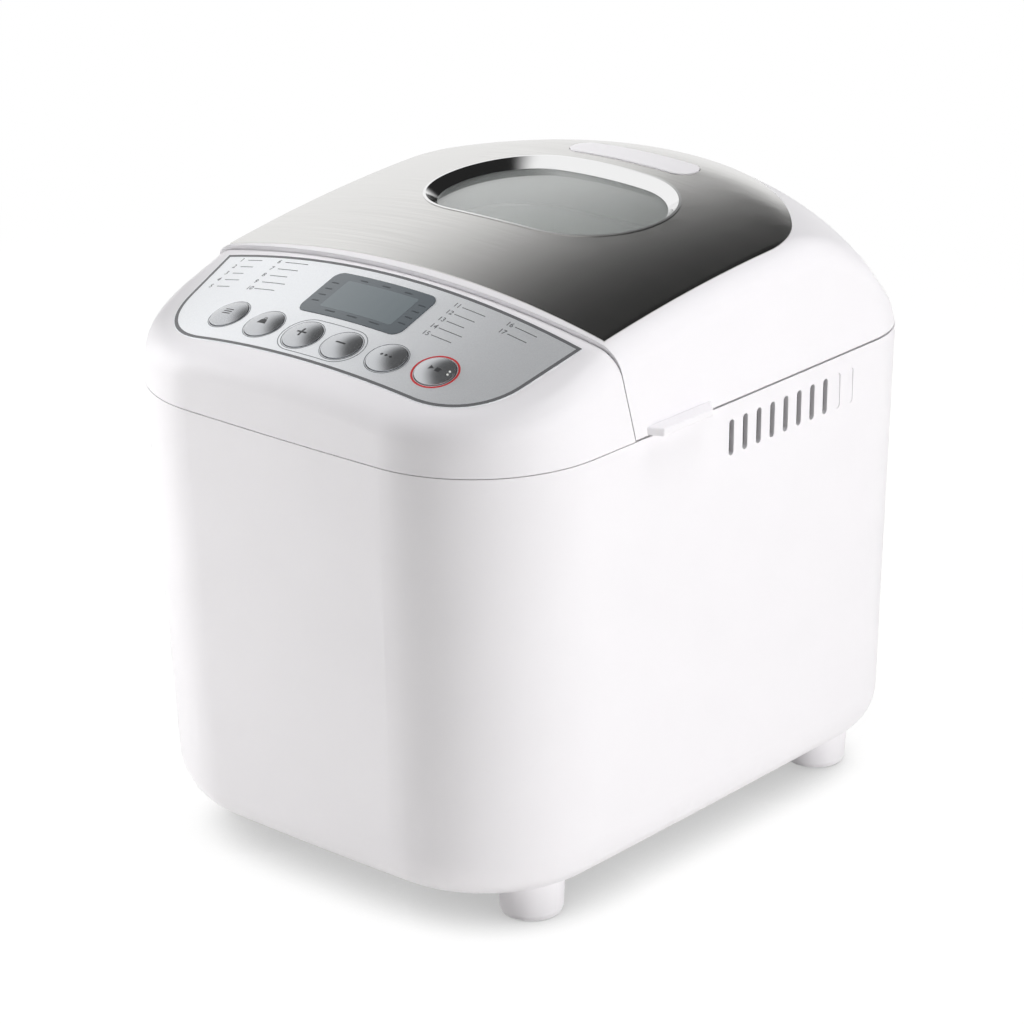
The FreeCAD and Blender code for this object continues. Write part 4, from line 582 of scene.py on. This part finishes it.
def sheet_outline(ground, count=220):
    """Points round the edge of the panel sheet, found by walking in from outside until the sheet is met."""
    low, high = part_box("control_overlay")
    middle = Vector((0.0, on_slope((low.y + high.y) / 2)))
    corners = [Vector((side * high.x, on_slope(high.y))) - middle for side in (-1, 1)]
    angles = [2 * math.pi * k / count for k in range(count)] + [math.atan2(c.y, c.x) for c in corners]
    step, finest = 1.0 * MM, 0.005 * MM
    points = []
    for angle in sorted(a % (2 * math.pi) for a in angles):
        heading = Vector((math.cos(angle), math.sin(angle)))
        far = (high - low).length
        while ground.land(*(middle + heading * (far - step))) is None:
            far -= step
        near = far - step
        while far - near > finest:
            half = (near + far) / 2
            if ground.land(*(middle + heading * half)) is None:
                far = half
            else:
                near = half
        points.append(tuple(middle + heading * near))
    return points


# Operators, one for each group of pieces.


class BREAD_OT_finish_casing(bpy.types.Operator):
    """Give the white casing, the feet and the vent cap their moulded finish"""
    bl_idname = "bread.finish_casing"
    bl_label = "Finish Casing"

    def execute(self, context):
        dress("white_abs", moulded_white_abs(context.scene.bread_casing))
        return {"FINISHED"}


class BREAD_OT_finish_lid(bpy.types.Operator):
    """Give the lid its brushed skin, its polished window ring and its panes"""
    bl_idname = "bread.finish_lid"
    bl_label = "Finish Lid"

    def execute(self, context):
        look = context.scene.bread_lid
        dress("brushed_stainless", brushed_stainless_steel(look))
        dress("polished_stainless", polished_stainless_steel())
        dress("clear_glass", clear_float_glass(look))
        return {"FINISHED"}


class BREAD_OT_print_panel(bpy.types.Operator):
    """Finish the panel film and print its border, programme numbers and rules"""
    bl_idname = "bread.print_panel"
    bl_label = "Print Panel"

    # Each column of programme numbers: first number, how many, place across and along the machine in
    # millimetres, and the length of its longest rule.
    columns = ((1, 5, -100.0, -88.5, 9.5), (6, 5, -74.5, -88.7, 15.0), (11, 5, 41.0, -91.0, 14.0),
               (16, 2, 72.0, -89.7, 13.0))
    # Rules come in threes, each shorter than the one before by this share of the longest.
    shortening = 0.12

    def execute(self, context):
        look = context.scene.bread_panel
        dress("silver_panel_film", silver_printed_film(look))
        ground = panel_ground()
        edge = sheet_outline(ground)
        outer = inward(edge, look.border_inset)
        border = band(outer, inward(outer, look.border_width))
        lay("panel_border", border, ground, look.ink_depth, screen_ink("border", look.ink), "casing")
        numbers, rules = [], []
        rule_level, rule_width = 0.4 * look.number_height, 0.14 * look.number_height
        for first, count, x, y, rule in self.columns:
            for row in range(count):
                foot = on_slope(y * MM) - row * look.line_pitch
                numbers += lettering("%d" % (first + row), look.number_height, x * MM, foot)
                run = rule * MM * (1.0 - self.shortening * (row % 3))
                rules.append(bar(x * MM + look.rule_start + run / 2, foot + rule_level, run, rule_width))
        legend = screen_ink("legend", look.legend)
        lay("programme_numbers", numbers, ground, look.ink_depth, legend, "casing")
        lay("programme_rules", rules, ground, look.ink_depth, legend, "casing")
        return {"FINISHED"}


class BREAD_OT_fit_display(bpy.types.Operator):
    """Finish the lens and fit the screen and the marks round it"""
    bl_idname = "bread.fit_display"
    bl_label = "Fit Display"

    # How far right of the middle of the lens's left and right margins their marks sit.
    side_shifts = (0.4 * MM, 0.8 * MM)
    side_rows = 4

    def execute(self, context):
        look = context.scene.bread_display
        depth = context.scene.bread_panel.ink_depth
        dress("smoked_acrylic", smoked_acrylic(look))
        low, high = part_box("display_lens")
        ground = panel_ground("display_lens")
        across, along = look.screen_shift, on_slope((low.y + high.y) / 2)
        half_width, half_depth = look.screen_width / 2, look.screen_depth / 2
        faces = rounded_strips((across, along), half_width, half_depth, look.screen_corner)
        lay("lcd_screen", faces, ground, depth, liquid_crystal_glass(look), "casing")
        marks = []
        above = half_depth + look.mark_gap
        for u in (across - look.mark_pitch, across, across + look.mark_pitch):
            marks.append(bar(u, along + above, look.upper_mark, look.mark_width))
            marks.append(bar(u, along - above, look.lower_mark, look.mark_width))
        margin = (half_width + (high.x - low.x) / 2) / 2
        for row in range(self.side_rows):
            v = along + (row - (self.side_rows - 1) / 2) * look.side_pitch
            for side, shift in zip((-margin, margin), self.side_shifts):
                marks.append(bar(side + shift, v, look.side_mark, look.mark_width))
        lay("display_marks", marks, ground, depth, screen_ink("marks", look.mark), "casing")
        return {"FINISHED"}


class BREAD_OT_mark_keys(bpy.types.Operator):
    """Finish the push buttons and print the lines round them and the symbols on them"""
    bl_idname = "bread.mark_keys"
    bl_label = "Mark Buttons"

    # Places of the indicator lamps from the middle of the start button.
    lamp_spots = ((7.0 * MM, 2.2 * MM), (7.4 * MM, 0.0))

    def symbols(self):
        """Faces of each button's symbol in metres about its middle."""
        points = 20
        stroke, arm = 1.0 * MM, 5.6 * MM
        line, line_width, line_pitch = 5.2 * MM, 0.55 * MM, 1.5 * MM
        half_base, half_top, base_level, top_level = 2.6 * MM, 1.7 * MM, -1.6 * MM, 1.2 * MM
        eye, eye_hole, eye_place = 1.0 * MM, 0.55 * MM, (0.0, 2.0 * MM)
        dot, dot_pitch = 0.75 * MM, 2.6 * MM
        tail, nose, half_height = -3.0 * MM, -0.4 * MM, 1.5 * MM
        stop, stop_place = 2.6 * MM, 1.8 * MM
        weight = [(-half_base, base_level), (half_base, base_level),
                  (half_top, top_level), (-half_top, top_level)]
        play = [(tail, -half_height), (nose, 0.0), (tail, half_height)]
        upper, rest = (arm + stroke) / 4, (arm - stroke) / 2
        return {
            "menu": [bar(0.0, (k - 1) * line_pitch, line, line_width) for k in range(3)],
            "weight": [weight] + band(circle(eye, eye_place, points), circle(eye_hole, eye_place, points)),
            "plus": [bar(0.0, 0.0, arm, stroke), bar(0.0, upper, stroke, rest),
                     bar(0.0, -upper, stroke, rest)],
            "minus": [bar(0.0, 0.0, arm, stroke)],
            "colour": [circle(dot, ((k - 1) * dot_pitch, 0.0), points) for k in range(3)],
            "start": [play, bar(stop_place, 0.0, stop, stop)],
        }

    def execute(self, context):
        look = context.scene.bread_keys
        depth = context.scene.bread_panel.ink_depth
        dress("satin_silver_plastic", metallised_plastic(look))
        line = screen_ink("outline", look.outline)
        sign = screen_ink("symbol", look.symbol)
        red = screen_ink("red", look.red)
        faces = self.symbols()
        hole = look.cap / 2 + look.play
        inner = hole + look.ring_gap
        for key in KEYS:
            place, out = key_joint(key)
            around = Ground("control_overlay", place, out)
            ink, width = (red, look.red_width) if key == "start" else (line, look.ring_width)
            ring = band(circle(inner + width), circle(inner))
            lay(key + "_ring", ring, around, depth, ink, "casing")
            on_top = Ground("button_" + key, place, out)
            lay(key + "_symbol", faces[key], on_top, depth, sign, key + "_button")
        plus, minus = key_joint("plus")[0], key_joint("minus")[0]
        half_run = (minus - plus).length / 2
        radius = hole + look.frame_gap
        both = band(stadium(half_run, radius + look.ring_width), stadium(half_run, radius))
        lay("plus_minus_frame", both, panel_ground(), depth, line, "casing")
        lamps = [circle(look.lamp / 2, spot, count=16) for spot in self.lamp_spots]
        on_start = Ground("button_start", *key_joint("start"))
        lay("start_lamps", lamps, on_start, look.lamp_height, clear_lamp_epoxy(), "start_button")
        return {"FINISHED"}


class BREAD_OT_finish_chamber(bpy.types.Operator):
    """Finish the baking chamber, the heater, the pan and the kneader"""
    bl_idname = "bread.finish_chamber"
    bl_label = "Finish Chamber"

    def execute(self, context):
        # Baked coating on the chamber's sheet: dark and satin, with a fine grain.
        dress("coated_steel", grained("baked_dark_coating", "46474A", "3B3C3E", 1.2, (0.4, 0.55),
                                      relief=0.01))
        # Mill-finish aluminium: pale, with a cloudy gloss from rolling.
        dress("aluminium_sheet", grained("mill_finish_aluminium", "C6C8CB", "BEC0C3", 14.0, (0.4, 0.46),
                                         METAL))
        # Heater sheath: nickel steel that heat has browned.
        dress("heater_steel", grained("heat_browned_sheath", "6A645D", "524A45", 9.0, (0.38, 0.55), METAL))
        # Drawn stainless steel of wire, pins and screws: bright, with a soft gloss.
        dress("stainless_steel", grained("drawn_stainless_steel", "C2C3C5", "B2B3B5", 1.5, (0.28, 0.38),
                                         METAL))
        dress("nonstick_coating", speckled_nonstick())
        return {"FINISHED"}


class BREAD_OT_finish_works(bpy.types.Operator):
    """Finish the drive, the sheet-metal frame and the electronics"""
    bl_idname = "bread.finish_works"
    bl_label = "Finish Works"

    def execute(self, context):
        dress("galvanised_steel", galvanised_sheet())
        dress("circuit_board", solder_resist_board())
        # Black moulded plastic: nearly black, with the fine spark texture of its mould.
        dress("black_plastic", grained("spark_textured_plastic", "202021", "2A2A2B", 0.5, (0.42, 0.58),
                                       relief=0.02))
        # Natural nylon: milky and slightly waxy.
        dress("nylon", grained("natural_nylon", "E6E2D6", "DCD7C8", 6.0, (0.35, 0.5), {"IOR": 1.53}))
        # Sintered bronze: dull gold with open pores.
        dress("sintered_bronze", grained("sintered_bronze", "A8854E", "80623A", 0.4, (0.45, 0.65), METAL,
                                         relief=0.05))
        # Motor case: satin grey paint on steel.
        dress("motor_steel", grained("satin_grey_paint", "9A9DA0", "8E9194", 2.0, (0.32, 0.45),
                                     {"Metallic": 0.4}))
        # Belt rubber: matt black with a dusty bloom.
        dress("belt_rubber", grained("matt_belt_rubber", "1B1B1B", "2B2A29", 1.5, (0.7, 0.85)))
        return {"FINISHED"}


def empty_tree(owner):
    """The node tree of a material or of the surroundings, cleared of its first nodes."""
    owner.use_nodes = True
    owner.node_tree.nodes.clear()
    return owner.node_tree


def ray_is(tree, *kinds):
    """One for a ray of any of these kinds, and zero for other rays."""
    path = add_node(tree, "LightPath")
    found = path.outputs["Is %s Ray" % kinds[0]]
    for kind in kinds[1:]:
        either = add_node(tree, "Math", {0: found, 1: path.outputs["Is %s Ray" % kind]}, operation="MAXIMUM")
        found = either.outputs[0]
    return found


class BREAD_OT_set_stage(bpy.types.Operator):
    """Set the floor, the lamps and their net, the white surroundings and the camera"""
    bl_idname = "bread.set_stage"
    bl_label = "Set Stage"

    # Each lamp's place, width and height, and the place that they all point at, in metres.
    lamps = {"left": ((-1.4, -0.45, 0.5), 1.0, 0.8), "right": ((1.46, 0.0, 0.45), 1.0, 0.8),
             "top": ((0.35, 0.2, 1.6), 0.9, 0.9)}
    aim = (0.0, 0.0, 0.18)

    def floor(self, look):
        """A pale floor that keeps the lamps' shadows, has a painted contact shadow under the machine and
        fades into the white surroundings.
        """
        # Matt pale paper: its own light only tops up what the eye sees, so the shadow stays.
        material = bpy.data.materials.new("matt_studio_paper")
        tree = empty_tree(material)
        place = add_node(tree, "TexCoord").outputs["Object"]
        away = add_node(tree, "VectorMath", {0: place}, operation="LENGTH")
        fade = add_node(tree, "MapRange", {"Value": away.outputs["Value"], "From Min": look.fade_start,
                                           "From Max": look.fade_end}, interpolation_type="SMOOTHSTEP")
        looked_at = ray_is(tree, "Camera", "Glossy", "Transmission")
        # Under the machine the floor's own glow is dimmed by ambient occlusion: a painted contact shadow, not
        # one cast by the lamps.
        covered, uncovered = 0.1, 0.62
        occlusion_for_painted_shadow = add_node(tree, "AmbientOcclusion", {"Distance": look.shadow_reach}, samples=32)
        paper = add_node(tree, "BsdfDiffuse", {"Color": opaque(look.floor)})
        thin = add_node(tree, "BsdfDiffuse", {"Color": opaque([look.shadow * c for c in look.floor])})
        # Painted contact shadow: the glow drops where the occlusion finds the machine close.
        painted_contact_shadow = add_node(tree, "MapRange", {"Value": occlusion_for_painted_shadow.outputs["AO"], "From Min": covered,
                                             "From Max": uncovered, "To Min": look.contact * look.top_up,
                                             "To Max": look.top_up}, interpolation_type="SMOOTHSTEP")
        glow = add_node(tree, "Emission", {"Strength": painted_contact_shadow.outputs["Result"]})
        near = add_node(tree, "AddShader", {0: thin.outputs[0], 1: glow.outputs[0]})
        white = add_node(tree, "Emission", {"Strength": 1.0})
        shown = add_node(tree, "MixShader", {0: fade.outputs["Result"], 1: near.outputs[0],
                                             2: white.outputs[0]})
        mixed = add_node(tree, "MixShader", {0: looked_at, 1: paper.outputs[0], 2: shown.outputs[0]})
        add_node(tree, "OutputMaterial", {"Surface": mixed.outputs[0]})
        mesh = bmesh.new()
        bmesh.ops.create_circle(mesh, cap_ends=True, radius=look.floor_radius, segments=96)
        floor = to_object("studio_floor", mesh, material)

    def scrim(self, look):
        """A net that holds the left lamp back from the machine's left side, which it would burn out."""
        # Fine net: too fine to show its mesh, it only thins the lamp's light.
        material = bpy.data.materials.new("fine_net")
        tree = empty_tree(material)
        thinned = add_node(tree, "BsdfTransparent", {"Color": opaque([look.scrim] * 3)})
        add_node(tree, "OutputMaterial", {"Surface": thinned.outputs[0]})
        low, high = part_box("body_shell")
        across, front, rear = low.x - look.scrim_gap, low.y - look.scrim_ahead, high.y + 2 * look.scrim_gap
        foot, top = low.z + look.scrim_foot, high.z + look.scrim_gap
        corners = ((across, front, foot), (across, rear, foot), (across, rear, top), (across, front, top))
        mesh = bmesh.new()
        mesh.faces.new([mesh.verts.new(corner) for corner in corners])
        net = to_object("left_scrim", mesh, material)
        net.visible_camera = net.visible_diffuse = net.visible_glossy = net.visible_transmission = False

    def lamp(self, name, power, place, width, height):
        """A soft area lamp that points at the machine and shows in no mirror."""
        light = bpy.data.lights.new(name, "AREA")
        light.shape, light.size, light.size_y, light.energy = "RECTANGLE", width, height, power
        lamp = bpy.data.objects.new(name, light)
        lamp.location = place
        lamp.rotation_euler = (Vector(self.aim) - Vector(place)).to_track_quat("-Z", "Y").to_euler()
        lamp.visible_camera = False
        lamp.visible_glossy = False
        bpy.context.scene.collection.objects.link(lamp)

    def surroundings(self, look):
        """White behind the machine, darker overhead in mirrors, and an even fill for matt surfaces."""
        world = bpy.data.worlds.new("studio_surroundings")
        bpy.context.scene.world = world
        tree = empty_tree(world)
        heading = add_node(tree, "TexCoord").outputs["Generated"]
        # In mirrors the room is dark overhead, most of all towards the right and the rear.
        to_dark, white_until, dark_from, darkest = (0.5, 0.7, 1.0), 0.46, 0.85, 0.02
        climb = add_node(tree, "VectorMath", {0: heading, 1: to_dark}, operation="DOT_PRODUCT")
        dim = add_node(tree, "MapRange", {"Value": climb.outputs["Value"], "From Min": white_until,
                                          "From Max": dark_from, "To Min": 1.0, "To Max": darkest},
                       interpolation_type="SMOOTHSTEP")
        pure = opaque((1.0, 1.0, 1.0))
        matt, mirror, white = (add_node(tree, "Background", {"Color": pure, "Strength": level})
                               for level in (look.fill, dim.outputs["Result"], 1.0))
        indirect = add_node(tree, "MixShader", {0: ray_is(tree, "Glossy", "Transmission"), 1: matt.outputs[0],
                                                2: mirror.outputs[0]})
        mixed = add_node(tree, "MixShader", {0: ray_is(tree, "Camera"), 1: indirect.outputs[0],
                                             2: white.outputs[0]})
        add_node(tree, "OutputWorld", {"Surface": mixed.outputs[0]})

    def camera(self, look):
        """A long lens from the right front, a little above."""
        yaw, pitch, roll = look.yaw, look.pitch, look.roll
        ahead = Vector((-math.sin(yaw) * math.cos(pitch), math.cos(yaw) * math.cos(pitch), -math.sin(pitch)))
        level = Vector((math.cos(yaw), math.sin(yaw), 0.0))
        upright = level.cross(ahead)
        right = level * math.cos(roll) + upright * math.sin(roll)
        top = upright * math.cos(roll) - level * math.sin(roll)
        data = bpy.data.cameras.new("camera")
        data.lens, data.sensor_width, data.sensor_fit = look.focal_length, look.sensor_width, "HORIZONTAL"
        data.clip_start, data.clip_end = 0.1, 50.0
        camera = bpy.data.objects.new("camera", data)
        bpy.context.scene.collection.objects.link(camera)
        turned = Matrix((right, top, -ahead)).transposed().to_4x4()
        aim = Vector((0.0, 0.0, look.aim_height))
        turned.translation = aim - ahead * look.distance - level * look.aim_left
        camera.matrix_world = turned
        bpy.context.scene.camera = camera

    def execute(self, context):
        look = context.scene.bread_stage
        self.floor(look)
        self.scrim(look)
        for name, (place, width, height) in self.lamps.items():
            self.lamp(name + "_lamp", getattr(look, name + "_power"), place, width, height)
        self.surroundings(look)
        self.camera(look)
        context.scene.view_settings.view_transform = "Standard"
        return {"FINISHED"}


SETTINGS = {
    "bread_casing": BreadCasingSettings, "bread_lid": BreadLidSettings, "bread_panel": BreadPanelSettings,
    "bread_display": BreadDisplaySettings, "bread_keys": BreadKeySettings, "bread_stage": BreadStageSettings,
}
OPERATORS = (BREAD_OT_finish_casing, BREAD_OT_finish_lid, BREAD_OT_print_panel, BREAD_OT_fit_display,
             BREAD_OT_mark_keys, BREAD_OT_finish_chamber, BREAD_OT_finish_works, BREAD_OT_set_stage)


class BREAD_PT_machine(bpy.types.Panel):
    """Steps that finish the bread machine"""
    bl_idname = "BREAD_PT_machine"
    bl_label = "Bread Machine"
    bl_space_type = "VIEW_3D"
    bl_region_type = "UI"
    bl_category = "Bread Machine"

    def draw(self, context):
        column = self.layout.column()
        for operator in OPERATORS:
            column.operator(operator.bl_idname)
        for name, group in SETTINGS.items():
            box = self.layout.box()
            box.label(text=group.__doc__)
            for setting in group.__annotations__:
                box.prop(getattr(context.scene, name), setting)


CLASSES = (*SETTINGS.values(), *OPERATORS, BREAD_PT_machine)


def register():
    for entry in CLASSES:
        bpy.utils.register_class(entry)
    for name, group in SETTINGS.items():
        setattr(bpy.types.Scene, name, PointerProperty(type=group))


def unregister():
    for name in SETTINGS:
        delattr(bpy.types.Scene, name)
    for entry in reversed(CLASSES):
        bpy.utils.unregister_class(entry)


def main():
    """Finish the machine and set the stage."""
    register()
    for operator in OPERATORS:
        group, name = operator.bl_idname.split(".")
        getattr(getattr(bpy.ops, group), name)()


if __name__ == "__main__":
    main()
